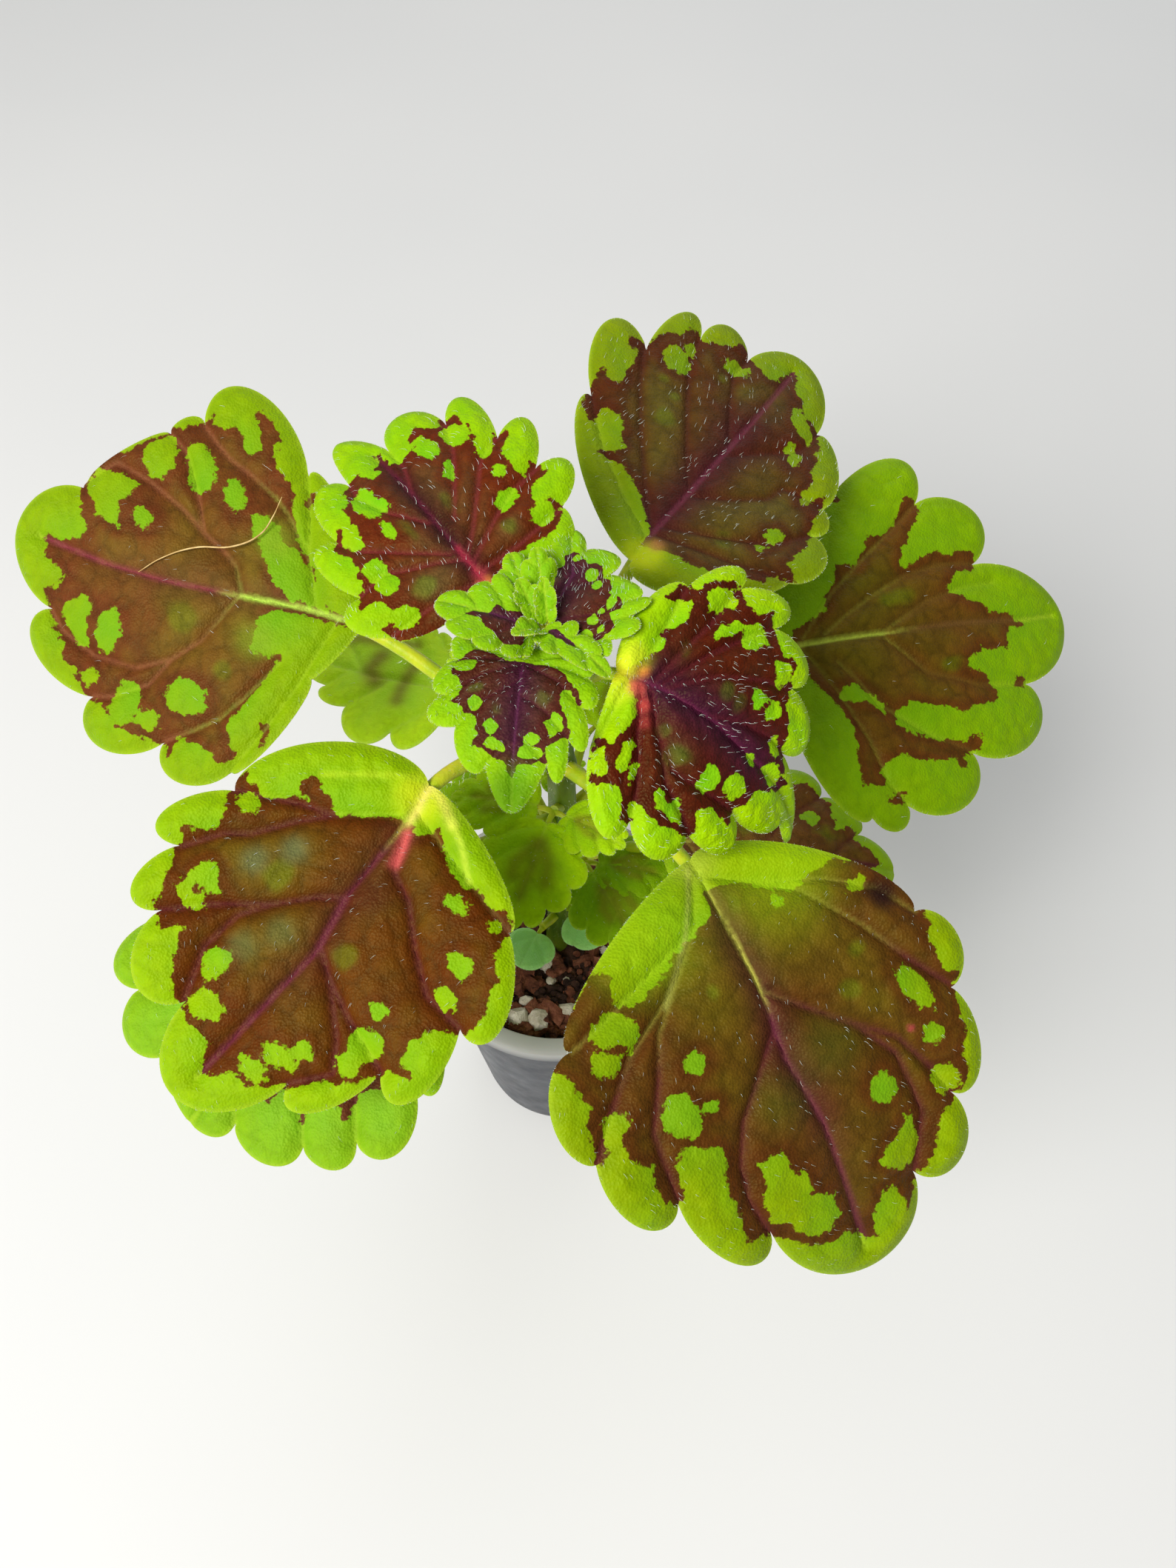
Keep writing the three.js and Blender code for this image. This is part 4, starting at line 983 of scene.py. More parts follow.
# %% Second pair, back leaf
large_leaf(
    "leaf_pair_2_back", 119, base=[39, 16.5, 142], heading=16, length=62, pitch=-3, droop=20, roll=20,
    twist=9, cup=-1, quilted=0.45, seed=7, hairs=0.01, fringe=0.8, tip="60.5,2.5",
    left="4,14 12,20 28,32.5 32.5,23.5 44,21.5 41.5,11.5",
    right="-0.5,-20.5 9,-31.5 14,-34.5 17,-30.5 30,-32 33.5,-23 49.5,-21.5 49.5,-11",
    dark="""3,2.5 8,4 10,5 11,7.5 13,10 14,13 16,13 18,12.5 20,15 21,18 23,17.5 26,19 28.5,21 29.5,24 31,25
    32,24 33,22 31.5,20.5 29,17 27,14 26,12 27,11 30,13 33,14 37,13 39,14 41,13.5 42,11.7 41,10.5 37.5,10
    36,9 34.5,7 35,6 37,5.5 38,4.5 40,4 43,2.5 46,2.2 48,1.5 50,0.5 49,-0.5 46.5,-1 45.5,-2 45.5,-4.5
    41,-4.5 39,-4 38.5,-5 36,-6 35,-8 38.5,-8.5 41,-12 41,-14 37,-14.7 34,-15 33,-16.2 31,-15 29,-14.5
    25,-14 22,-13 19,-14 18,-16.5 20,-18 23,-19 25,-20 29,-20.5 32,-21 34,-20 36,-20.5 35,-22.5 31,-23.5
    31.5,-25.5 29.5,-25.5 29,-23.5 26,-23.7 21,-23.5 19,-22.5 17,-22 15,-22.5 12.5,-24 13.5,-25.5 12.5,-27
    10,-26 8.5,-26 8.5,-24 9,-20 9.5,-15 8,-13 7,-11 5,-8 4,-6 3,-4 2,-2""",
    light="9,-9 12,-8 13.5,-10 17,-13 16.5,-14.5 13,-12 9,-11",
    faint="33,-7,3,1.5 24,6,3,2",
    dots="15,-29,2,1 47.6,-10.8,1.5,1.2 17,26,1.4,1.4",
    veins="""0,0 20,-0.2 35,0.5 50,0.8 58,2 / 9,1 14,4 20,7 27,10 34,11.5 41.5,11.5 / 5,1 12,8 20,14 27,19
    32.5,23.5 / 20,0 30,5 38,7 45,8 / 4,0 8,-8 12,-18 14,-26 17,-30.5 / 10,-4 16,-13 25,-19 33,-22.5 / 20,-1
    27,-8 38,-11 49.5,-11""",
    olive_at="8,2,8,0.7 15,-4,8,0.6 24,8,7,0.5 18,14,6,0.5",
    pale=[("0,0 10,-0.1 20,-0.2", 0.35, 0.7, "A8C040")],
    tone=dict(
        dark="664210", olive="5A5606", purple="5C420E", purple_share=0.3, side_vein="6C5420", vein="705028",
        pale_vein="A6AC40", pale_to=0.36, light="7AA000", island="6E9A04", ribbed=0.3,
    ),
)

# %% Fifth pair, back leaf
large_leaf(
    "leaf_pair_5_back", 160, base=[-7, 0.5, 174], heading=130, length=40, pitch=18, droop=38, roll=-12,
    twist=-5, bend=1.8, cup=-1, seed=8, step=0.45, hairs=0.2, petiole=[1.2, 0.4], tip_fullness=0.85,
    tip="40.5,-2",
    left="0,9.5 3,14.5 9,18.5 11.5,14.5 22,15.5 22,11 33.5,7.5 29.5,3",
    right="""-4.5,-3.5 -3.5,-7.5 -2.5,-13 4,-16 8.5,-21.5 11,-17 18,-22 18.5,-16.5 28.5,-19 26.5,-13.5
    34.5,-11 30,-5""",
    dark="""0.3,0.5 0.5,5 -0.3,9 0,10.7 1,12.7 2,14.4 3.2,14.8 3.5,15 4.8,15.2 5,13 4.7,12.3 6,12.2 8,12.8
    9,13.5 9.3,14.5 8.8,15.5 9.3,16.2 10,16 10.5,15 11,14.8 11.8,14.6 12,13.3 13,12.8 14.5,13 15,12 16,11.7
    18,11.7 20,12.2 20.7,12.3 21.3,11.7 22.4,11.4 22.6,10.9 23.4,9.6 22.5,9.3 21.6,10.2 20.5,10.8 19,10.9
    18.2,10 17.8,9 19,8.3 20.5,7.8 22,8 23.5,7.2 25,7.3 25.6,6.8 26,5.5 27.5,4.9 28.5,4.7 29,3.8 30,3 29.5,1
    27.5,0.8 26,0.2 26.3,-1 28,-1.2 28.8,-2.3 31.5,-3.1 30.5,-3.5 27,-3.2 25.8,-4.5 25.7,-6.5 26.8,-7.4
    28,-8 28.5,-9.5 29,-10.3 27.5,-10.7 26.8,-11.5 26.6,-12.5 28,-13.7 26.9,-14 26.3,-15.8 25.5,-15.2 24,-15
    22,-15 20.8,-14.2 19.5,-13 17.5,-12.3 16.5,-13 16.3,-14 17.5,-15 19,-16 20,-16.8 18.8,-17 18.3,-18.2
    17.5,-18.2 16.5,-16.5 15.5,-14.8 13,-14.5 11,-14.6 10.5,-15.2 11.5,-16 12,-17.3 11,-17.5 9.5,-18 9,-17.5
    9,-16 8.5,-14.5 7.8,-13.2 6.3,-13.3 6,-14.5 5.5,-15.5 4.9,-15.4 4.2,-16.6 3.8,-16 2.6,-14.5 1.5,-12
    1.5,-10 1.8,-8 1.5,-5 1,-3 0.3,-1""",
    spots="""9.9,10.5,2,1.7 13,10.4,1.9,1.6 17,4.9,1.6,0.9 23.5,4,3.5,1.8,-12 21.5,2.5,1.3,0.6 4,11.6,1.8,2
    24.3,-8.2,2.4,1.6 23.3,-12.8,2.4,1.8 9.5,-10.7,1.3,2.1,20 13.4,-12.6,1.2,0.9 4.6,-13,1.7,1.9
    18.3,-7.4,1.1,0.8,-40 19.7,-8.4,0.9,0.6,-40""",
    faint="6,7,1.6,1.6 6,-8,1.2,1.6 15,3,2,1 14,-4,2,1",
    veins="""0,0 6,-0.3 12,-0.6 20,-1.5 31,-3 / 6,0 8,3 10,7 12,10 11.6,14.3 / 8,1 13,6 18,10 22,11.2 / 14,0
    20,3 26,4 29.6,3 / 2,0.5 3,7 3.2,14.4 / 6,-0.5 9,-4 12,-7 17,-12 18.6,-16.3 / 5,-1 8,-7 10,-12 10.8,-17
    / 12,-3 18,-8 22,-11 26.6,-13.4 / 20,-1.6 25,-4 30,-5 / 3,-0.5 3,-8 3.8,-15.8""",
    olive_at="5,6,3,0.8 12,3,3,0.5 14,-4,3,0.7 6,-8,3,0.6 20,-5,3,0.4",
    blush="1,0,1.2,0.8,#D8803A 2.8,-0.3,1.2,0.5,#B04048 0,0,1,0.8,#C8C828",
    pale=[("1,0 4,-0.2 8,-0.4", 0.5, 0.7, "A02840")],
    tone=dict(
        dark="682A0C", olive="62502A", purple="360A16", purple_share=0.95, purple_width=2.4,
        side_vein="7C2C34", vein="561630", pale_to=0.0, pale_vein="A03048", light="8CB800", island="70B00A",
        ribbed=0.6,
    ),
)

# %% Fifth pair, front leaf
large_leaf(
    "leaf_pair_5_front", 160, base=[10.5, -14.5, 175], heading=-19, length=40, pitch=-6, droop=70, roll=17,
    twist=4, bend=-1.8, cup=-1, quilted=1.1, seed=9, step=0.45, hairs=0.4, petiole=[1.2, 0.4],
    stalk_hairs=100, tip="39.5,0",
    left="0,10 4.5,15 8.5,21 10.5,18.5 16.5,21 16.5,16.5 23,16 22.5,11.5 29.5,9 27,4",
    right="0,-6 0.5,-12 6,-20.5 10.5,-17.5 17.5,-20 20.5,-14.5 29,-12 25,-7.5 31.5,-6.5 35,-2",
    dark="""0.5,0.3 1.5,0.8 2.5,2 3.3,3.5 4.2,5 4.5,6.5 3.8,7 3.8,8 5.2,8.8 5.8,10.5 5.6,13 4.5,13.2
    3.5,12.2 2.5,11.5 2.3,12 3,13.5 3.5,14.8 4.6,15.4 5,15 6,15 6.5,16.5 7.5,17.5 8.5,18 9.5,18.7 10,18
    10.7,18.7 11,17.5 11.5,16.3 13,16 14,16.5 15,18 15.5,17 16.3,16.4 16.8,16.5 17,15.7 17.3,14.5 18.5,13.6
    20,14.2 21,13.8 21.5,12 22.6,11.7 22.5,11 22.5,9.5 22.8,8 24,7.2 24.8,6 25.5,5.2 26,4.5 27.3,4.1
    27.5,3.2 28,2 29,1.3 30.3,1.7 30.2,0.5 29.5,-0.5 28.5,-1.3 27,-2.3 25.8,-3.5 25.3,-5 25.7,-6.3 25.2,-7.6
    25,-9.5 24.5,-10 22,-9.7 20.5,-10 19.2,-11 19.2,-12 20,-13 21,-13.8 20.7,-14.6 20,-15 18.5,-15.5
    17,-15.8 14.5,-16.4 12.5,-15.8 11,-15.2 9.8,-15 9,-15.5 9.2,-16.8 10,-17.2 10.8,-17.3 10.2,-17.8 9,-18.7
    8.3,-18 7.8,-16.5 7,-15 5.5,-14.6 4,-15 3.2,-15.8 2,-15 1.5,-14 0.8,-12.5 0.6,-11 0.8,-9.5 1.5,-9.3
    2.3,-9.9 3.3,-9.8 3.5,-8 4.2,-6.5 4.5,-5 4,-3 3,-2 2,-0.8 0.5,-0.3""",
    light="""7,14 7.5,16.5 9.5,17.7 10.7,16.5 10.5,14.8 9.5,14 8.5,13 7.8,12.8 / 9.6,9.5 10.3,12 11.5,13.4
    12.5,13.3 12.2,11.7 11.5,11 10.3,9.3 / 12.9,14 14,15.3 15.5,15.2 16.2,13.5 15.5,11.8 14,10.8 13.2,12 /
    18.2,12.2 19.5,13 20.8,13.2 21.3,11.5 20.8,9.8 20,10.2 18.8,11 / 16.5,-5.5 18,-5 19.5,-6.5 20,-7.7
    18.5,-8.9 17,-8.6 16.5,-7.5 / 0.9,-11.3 2,-10.8 3.5,-12.5 4,-13.3 3.3,-14.6 2,-14.5 1,-13 / 11.2,-13
    12,-12 13,-11.8 13.7,-13 14.8,-13.3 15.3,-11.3 16.5,-12 18,-13.8 17.5,-14.7 16,-14.8 14.5,-14.7
    12.5,-14.3""",
    spots="""18.6,6.3,1.2,1.5 21.2,6.5,1.1,1.4 24.6,3,1.1,1.4 27,0.2,2.1,1.3 22.7,-0.6,0.8,0.7
    22.2,-5.5,1.8,1.8 5.5,-10.5,1,2.2 7.4,-11.8,0.7,1.5""",
    faint="12.3,-7,1.7,1.4 9,-5.2,0.9,0.9 14,4.5,0.9,2 16.7,4,0.8,1.6 7.3,6.3,0.8,1.5",
    veins="""0,0 8,0 15,-0.1 22,-0.5 30,0.3 38,0.4 / 7,0.3 12,5 18,9 22.6,11.2 / 5,0 7,6 9,12 10.4,18.3 /
    6,0.2 10,7 14,13 16.5,16.2 / 14,0.2 19,2.5 24,4 27.2,4 / 3,0.5 4,8 4.4,14.6 / 5,-0.5 8,-5 13,-9 19,-8.6
    24.8,-7.6 / 4,-1 6,-7 9,-13 10.5,-17.4 / 8,-5 13,-11 20.3,-14.2 / 2,-0.5 1.5,-6 0.8,-12""",
    olive_at="7,5,2,0.3 12,-7,2,0.6 14,4,2,0.25",
    blush="""0,0,2.2,1,#D0CC20 3.2,-1.4,1.3,0.8,#D65A50 3.2,1.2,0.9,0.7,#DC7440 5,-3.2,1.1,0.7,#C04440
    6.2,-5.2,0.9,0.6,#A03434 1.2,2.5,2.2,0.7,#D0DC28 1,-3,2,0.5,#D0DC28""",
    tone=dict(
        dark="541A08", olive="4E3C22", purple="40102A", purple_share=1.0, purple_width=4.0,
        side_vein="5E1C28", vein="662044", pale_to=0.0, pale_vein="8C3A60", light="9AC200", island="6EB40C",
        patchy=0.25, ribbed=0.35,
    ),
)

# %% Second pair, front leaf
large_leaf(
    "leaf_pair_2_front", 119, base=[-24, -24, 134], heading=-130, length=46, pitch=-6, droop=20, roll=-4,
    cup=-1, seed=10, hairs=0.03, tip="47,-0.5",
    left="4,14.5 11,19 18,26.5 21,23.5 29.5,28 33,22 38,22 38.5,16 44,13 42.5,5.5",
    right="4,-15 12,-21.5 20,-27.5 25.5,-24.5 35.5,-28.5 37.5,-21 44.5,-17.5 41.5,-10",
    dark="""2,1 5,8 8,14 11,19.3 13,19 17,21.5 21,23.7 23,21 27,18 29.5,18.5 31,19.5 31.2,18.5 30,17 31.5,14
    34,13.4 35.8,14.2 36,13.2 34,12.4 33.5,9 35,8.4 36.8,8.6 36.8,7.6 35,6.6 37.5,4.4 39.5,4.8 39.4,3.8
    36.5,3 38.5,0 36,-3 35,-7 39.5,-9.6 34.5,-11 31.5,-16 36,-20.4 30,-19 25.4,-25 18,-22 12,-21.9 8,-14
    3,-6 1,-1""",
    spots="16,14,2,2.4 26,14,2,2 30,8,1.6,1.8 20,-14,2,2.4 29,-14,2,2",
    tone=dict(dark="6A4024", olive="66602A", light="7EAA14", island="78AE22", pale_to=0.3),
)

# %% First pair, front leaf
large_leaf(
    "leaf_pair_1_front", 101, base=[20, -7, 118], heading=-3, length=42, pitch=-2, droop=15, roll=-6,
    cup=-1, seed=11, hairs=0.02, fringe=0.6, tip="42.7,0",
    left="2.8,11.9 9.8,16.8 16.8,22.4 21,18.2 28,19.6 29.75,14 36.4,12.25 36.4,6.65",
    right="3.5,-12.6 10.5,-16.8 16.1,-21.7 20.3,-18.2 28.7,-18.9 29.4,-13.3 37.1,-11.2 35.7,-6.3",
    dark="""2,1 4,6 7,12 9.6,17 13,17 17,16 20.9,18.5 23,16 25,15.5 27,16.5 29.8,14.2 31.5,12 31,9 33,7.6
    36.6,6.9 35,5 37,3 40,0.5 37,-1.5 34,-3 35.9,-6.5 33,-7.5 31,-10 29.6,-13.6 26,-13 24,-15.5 20.2,-18.5
    16,-16 10.4,-17 7,-10 3,-4""",
    light="31.5,6 32.5,10.5 35,13 33.5,6.5",
    spots="22,11,1.8,2 27,8,1.6,1.8 18,-11,2,2 27,-8,1.6,1.8",
    faint="30,5,3,2 14,6,3,3",
    tone=dict(dark="86582E", olive="80741C", light="A4CC18", island="9CC824", purple_share=0.2, ribbed=0.2),
)

# %% First pair, back leaf
large_leaf(
    "leaf_pair_1_back", 101, base=[-19, 27, 116], heading=163, length=33, droop=20, cup=-1, seed=12,
    hairs=0.02, fringe=0.6, tip="34.5,-3.5",
    left="2.5,13 9,11.5 15.5,15 20.5,7.5 26.5,6.5 27,3",
    right="3,-10 9,-14 15,-18 18,-15 26,-16 28,-9",
    pale=[
        ("10,5 10.5,0 9.5,-4", 1.6, 0.75, "8E7A3A"), ("16.5,1 18.5,-1.5 17.5,-5", 2.2, 0.8, "8E7438"),
        ("12,-9.5 17,-8.5 22,-9 28.5,-9.5", 1.5, 0.7, "8E7438"),
    ],
    # painted light: this low leaf lies in the shade of the leaves above, and its greens are painted far
    # brighter than its own green
    tone=dict(light="D2F824", island="C8F438", green_vein="D8F070"),
)

# %% [markdown]
# The sixth pair has only just unfolded. Its two blades are small, purple in the middle and covered with
# hairs, which catch the light as short white strokes.

# %% Sixth pair, the young leaves under the bud
YOUNG = dict(
    dark="54241A", olive="604838", purple="44182E", purple_share=1.0, purple_width=2.6, side_vein="54202E",
    vein="5A2448", pale_to=0.0, pale_vein="5A2448", light="88B606", island="72AE16", patchy=0.5,
)
large_leaf(
    "leaf_pair_6_front", 167, base=[-2, -12, 174.2], heading=-94, length=21, pitch=4, droop=35, roll=6,
    cup=-0.5, seed=13, step=0.3, hairs=0.7, hair_length=0.8, petiole=[1.0, 0.35], stalk_hairs=30,
    tip_fullness=0.95, tip="22,0.3",
    left="-3,3.5 -0.5,6 -0.5,9.5 3,9 6.5,10.5 7.5,8.5 13,9.5 12,7 17.5,6.5 15.5,4.5",
    right="-3.4,-3.5 -2.6,-6.3 -5.6,-10 -0.6,-9.4 3,-12 5.5,-10 9,-12 10.5,-8 16,-6.5 16,-3.5",
    dark="""0.5,0.5 1,2 1,3.5 2,5 3,6 4,6.5 4.8,7.3 5.7,8 6.5,8.3 8,8.1 6.5,7.6 5.3,6.8 5,6 6,5.5 7.5,5.7
    8.5,6.2 9.5,6.6 10.5,6.8 11,7.2 12,7.2 12,6 12.6,5.5 13.3,4.4 14.3,4.5 15.6,4.6 15,3.6 15.5,3 15.7,1.5
    15.6,0.8 16.5,0.4 17.5,0 17,-0.4 15.8,-0.8 15.3,-1.3 15.2,-2 14.6,-3 14,-3.8 13.3,-4.8 13.5,-5.4
    12.8,-5.6 12,-4.9 11,-5.3 10,-5.3 9.3,-5.2 8.6,-6.3 8.8,-7.2 8,-7.3 7.2,-8.3 6.8,-9.2 6.4,-8.4 5,-7.9
    4,-7.8 3,-8.5 2.2,-9.5 1.5,-9.5 -0.6,-9 -2.4,-6.6 -1,-4 0.2,-1.5""",
    light="""8.2,4.8 9,6 10.5,6.2 11.8,5.5 12.2,4.5 11,4.2 10,3.6 9.2,4.4 / 12,-3.8 12.5,-2 13.3,-1.1
    14,-1.2 14,-2.5 13.2,-3.8""",
    spots="12.2,2.3,0.8,1.1 14.1,2.2,1,1.5 10.7,-3.2,1.1,1 7.2,-5.7,1.1,0.9 0.8,-7.7,1.3,1.5",
    faint="4.9,-5.7,0.9,0.9 8.5,-2.6,1,0.8 6.5,3.5,1.2,1",
    # painted shade: the dark green blush at the tip stands in for the shade on the drooping tip
    blush="20,0,4,0.85,#4C7A08",
    tone=YOUNG,
)
large_leaf(
    "leaf_pair_6_back", 167, base=[1.4, -7.2, 176.2], heading=68, length=16, pitch=10, droop=20, cup=1,
    seed=14, step=0.3, hairs=1.0, hair_length=0.85, petiole=[0.9, 0.3], stalk_hairs=20, tip="17.3,3.8",
    left="0.5,3.5 3,4.5 6,6 8.5,4.8 10,5.6 11.5,4.6",
    right="""-1.5,-3 -1,-6.3 -3,-9.6 -0.3,-9.2 1.6,-12.4 3.6,-10.3 6.3,-12.3 6.6,-9.8 8.8,-9.6 10.3,-4.6
    14.2,-4.6 14.2,0.2""",
    dark="""0.5,0.5 2,2.2 5,3 8.4,3.9 8.5,2.8 9.5,1.6 11,2.2 12.9,1.5 12.2,0 10.7,-1.2 11.4,-2.2 11.2,-3.3
    9,-4.3 8.8,-5.4 7.3,-6.2 6.4,-6 6.6,-7.4 5.8,-8.4 4.3,-8.8 3.3,-7.5 2.4,-8.2 1.3,-9.2 0,-8.2 -1.2,-7.4
    0.4,-5.7 -0.6,-4.4 0.2,-2.8 0,-1""",
    spots="""9.3,-2.5,1.1,0.9 7.6,-4,0.9,0.7 5.3,-7,1.1,0.6 2,-5.6,1,0.7 11.6,0.6,0.7,0.6 3.6,-6.2,0.5,0.4
    0.7,-7.3,0.7,0.5""",
    faint="7,1.5,1.5,1",
    tone=YOUNG,
)

# %% [markdown]
# ## Side shoots, seed leaves and the bud
# In the axils of the large leaves grow small sprays of two or three leaves. They all share one simple
# scalloped margin, scaled to each leaf's length, with a soft brown flush along their veins instead of a
# dark middle. The two seed leaves low on the stem are round and bluish.

# %% Small leaves
SMALL_LEFT = "0.5,6 4.5,7.5 8,9.8 10.5,7.5 14,8 15,4.8 18.3,4.2 18,1.8"
SEED_LEFT = "1,4.5 5,4.3"
FLUSHED = ("4,0.4 8,3 11,3.4", "5,-0.6 9,-2.6 11,-2.4", "8,0.4 14,0")
FLUSH_PAINT = "7E6420"
# painted light: the greens of the sprays and of the seed leaves are painted brighter than their own green,
# as painted glow of light passing through the thin blades; the two lowest sprays get a darker copy, as
# painted shade
GREEN_WITH_PAINTED_GLOW = dict(light="B4DC08", island="A2D00E", green_vein="BCD83C")
GREEN_WITH_PAINTED_SHADE = {**GREEN_WITH_PAINTED_GLOW, "light": "8CB40A", "island": "7CA60C"}
SEEDLING = dict(light="A6E082", island="9EDA84", green_vein="B4E49C")


def scaled(text, k, flip=1):
    return " ".join(f"{x * k:.3f},{y * k * flip:.3f}" for x, y in numbers(text))


def small_parts(name, base, heading, length, pitch, seed, tone):
    seedling = tone is SEEDLING
    k = length / (8 if seedling else 20)
    half = SEED_LEFT if seedling else SMALL_LEFT
    flush = [] if seedling else [(scaled(line, k), 1.4 * k, 0.55, FLUSH_PAINT) for line in FLUSHED]
    parts, leaf = make_leaf(
        name, base, heading, length, scaled(half, k), f"{length},0", scaled(half, k, -1), pitch=pitch,
        droop=30, cup=-0.5, seed=seed, step=max(0.25, min(0.45, length / 30)), hairs=0.15,
        hair_length=0.6, pale=flush, tone=tone,
    )
    return parts, under_midrib(leaf, [0, 0.12, 0.3, 0.5], [0.4, 0.35, 0.25, 0.2], 0.15)


def spray(name, node_height, end, leaves, seed, tone=GREEN_WITH_PAINTED_GLOW):
    end = np.array(end, float)
    parts = []
    for i, (heading, length, pitch) in enumerate(leaves):
        turn = math.radians(heading)
        base = end + np.array([math.cos(turn), math.sin(turn), 0.3]) * (1 + 0.12 * length)
        grown, foot = small_parts(name, base, heading, length, pitch, seed + i, tone)
        way = [end - [0, 0, 0.6], (end + foot[0]) / 2, *foot]
        parts += [*grown, stalk("twig", way, [0.6, 0.5, 0.4, 0.35, 0.25, 0.2], petiole_skin)]
    start = stem_centre(node_height)
    middle = (start + end) / 2 + [0, 0, -0.4]
    parts.append(stalk("shoot", [start, middle, end], [1.0, 1.0, 0.8], petiole_skin))
    finish_piece(join(parts, name + "_spray"), name)


# painted shade: the two lowest sprays take the darker copy of the green
spray("side_shoot_1_front", 106, [6, -8, 112], [[-60, 17, 5], [-150, 10, 20], [-12, 14, 10]], 101, GREEN_WITH_PAINTED_SHADE)
spray("side_shoot_1_back", 106, [-4, 6, 116], [[95, 15, 15], [15, 9, 30], [192, 15, 5]], 111, GREEN_WITH_PAINTED_SHADE)
spray("side_shoot_2_front", 123, [1, -9, 131], [[-108, 19, 5], [-35, 12, 20], [170, 15, 10]], 121)
spray("side_shoot_2_back", 123, [6, 5, 132], [[50, 14, 20], [130, 10, 30]], 131)
spray("side_shoot_3_back", 142, [-4, 1, 149], [[150, 11, 30], [60, 8, 40]], 141)
spray("seed_leaf_left", 79, [-2.5, -6.4, 82], [[-118, 7.8, 0]], 151, SEEDLING)
spray("seed_leaf_right", 81, [3.2, -3, 84], [[-52, 8.2, 0]], 161, SEEDLING)

# %% [markdown]
# The bud holds the youngest leaves. The left one has opened into a pointed star of lobes with a purple
# streak, a narrow one points to the lower right, and between them small green leaves still stand
# folded upright around the growing point. Each row gives a leaf's base, heading, pitch, fold, margin
# and dark streak.

# %% The bud
BUD = {**YOUNG, "purple_width": 1.1, "light": "84B408", "island": "78AE12"}
BUD_LEAVES = [
    [
        [-0.6, -8.4, 176.5], 163, 14, 1, "-1.2,3.6 -0.3,5 1.8,6.6 2.8,4.4 4.4,6.8 6.8,5.2 9.6,5.2 11.2,2.8",
        "14.2,-0.6", "0.5,-2.8 3,-2.8 6.2,-6.2 7.6,-4.6 9.3,-4.4 10.3,-2.6",
        """0.2,3.4 1,0.2 2.2,-1.6 3.4,-1 4.5,-1.2 5.7,-1.6 6,-0.2 7,0.2 8.2,0.5 9.8,1 8.4,1.5 7,1.5 5.8,2.8
        4.6,3 3.6,4.2 2,4.6 0.6,4""",
    ],
    [
        [0.9, -8.8, 177], -39, 12, 2, "0.8,1.6 1.8,1.3 3.2,2.9 4.4,1.2 7,2 9,0.9", "11.9,-0.8",
        "0.4,-2.6 1.6,-2.6 3.4,-3.9 4.6,-2.6 7.5,-3 9.3,-2.1",
        "0.8,0 2,0.6 3.5,0.2 5,0.1 6,-0.5 4.6,-0.9 3,-0.7 1.5,-1",
    ],
    [[0.4, -2.6, 176.5], 96, 48, -1.2, "0,1.6 2,2 4,2.6 5,1.4", "6.6,0.1", "0.2,-1.5 2,-1.9 4,-2.4 5,-1.3"],
    [[1.3, -7.8, 177], 97, 58, 2.4, "0,1.2 2,1.4 3.6,1.6 4.6,0.9", "6,0", "0,-1 2,-1.2 3.6,-1.4 4.6,-0.8"],
    [[-0.4, -6.6, 176.8], 118, 42, 1.4, "0,1.2 1.8,1.4 3,2 4,1.1", "5.6,0", "0,-1.3 1.8,-1.5 3,-2.1 4,-1.2"],
    [[-1.6, -3.6, 176], 108, 30, -1, "0,2 2.4,2.4 4.4,3 5.8,1.8", "8,0", "0,-2 2.4,-2.4 4.4,-3 5.8,-1.8"],
    [
        [0.4, -9.4, 177.2], 215, 40, 1.6, "0,1.2 1.6,1.4 2.8,1.7 3.8,0.9", "5,0",
        "0,-1.2 1.6,-1.4 2.8,-1.7 3.8,-0.9",
    ],
]
FIRST_BUD_SEED = 171


def bud_leaf(seed, base, heading, pitch, fold, left, tip, right, dark=""):
    parts, leaf = make_leaf(
        "bud_leaf", base, heading, numbers(tip)[0][0], left, tip, right, pitch=pitch, droop=25, cup=fold,
        dark=dark, seed=seed, step=0.28, hairs=0.5, fringe=1.4, hair_length=0.7, tone=BUD,
    )
    foot = under_midrib(leaf, [0, 0.15, 0.35], [0.4, 0.3, 0.2], 0.15)
    end = stem_centre(STEM_TOP)
    way = [end - [0, 0, 1.5], (end + foot[0]) / 2 - [0, 0, 0.5], *foot]
    return [*parts, stalk("twig", way, [0.7, 0.5, 0.4, 0.3, 0.2], petiole_skin)]


parts = []
for seed, row in enumerate(BUD_LEAVES, FIRST_BUD_SEED):
    parts += bud_leaf(seed, *row)
finish_piece(join(parts, "shoot_tip_spray"), "shoot_tip")

# %% [markdown]
# ## The main stem
# A coleus stem is square with rounded edges and thickens at each node. It starts as a square face that
# is extruded along the bent way of the stem and scaled a little at every step.

# %% Square stem
NODE_HEIGHTS = (101, 119, 138, 151, 160, 167)
STEM_STEPS = 85
CORNER_TURN = math.radians(85)


def stem_side(height):
    share = (height - STEM_FOOT) / (STEM_TOP - STEM_FOOT)
    swell = sum(math.exp(-(((height - n) / 2.2) ** 2)) for n in NODE_HEIGHTS)
    return 5.2 - 2.2 * share + 0.7 * swell


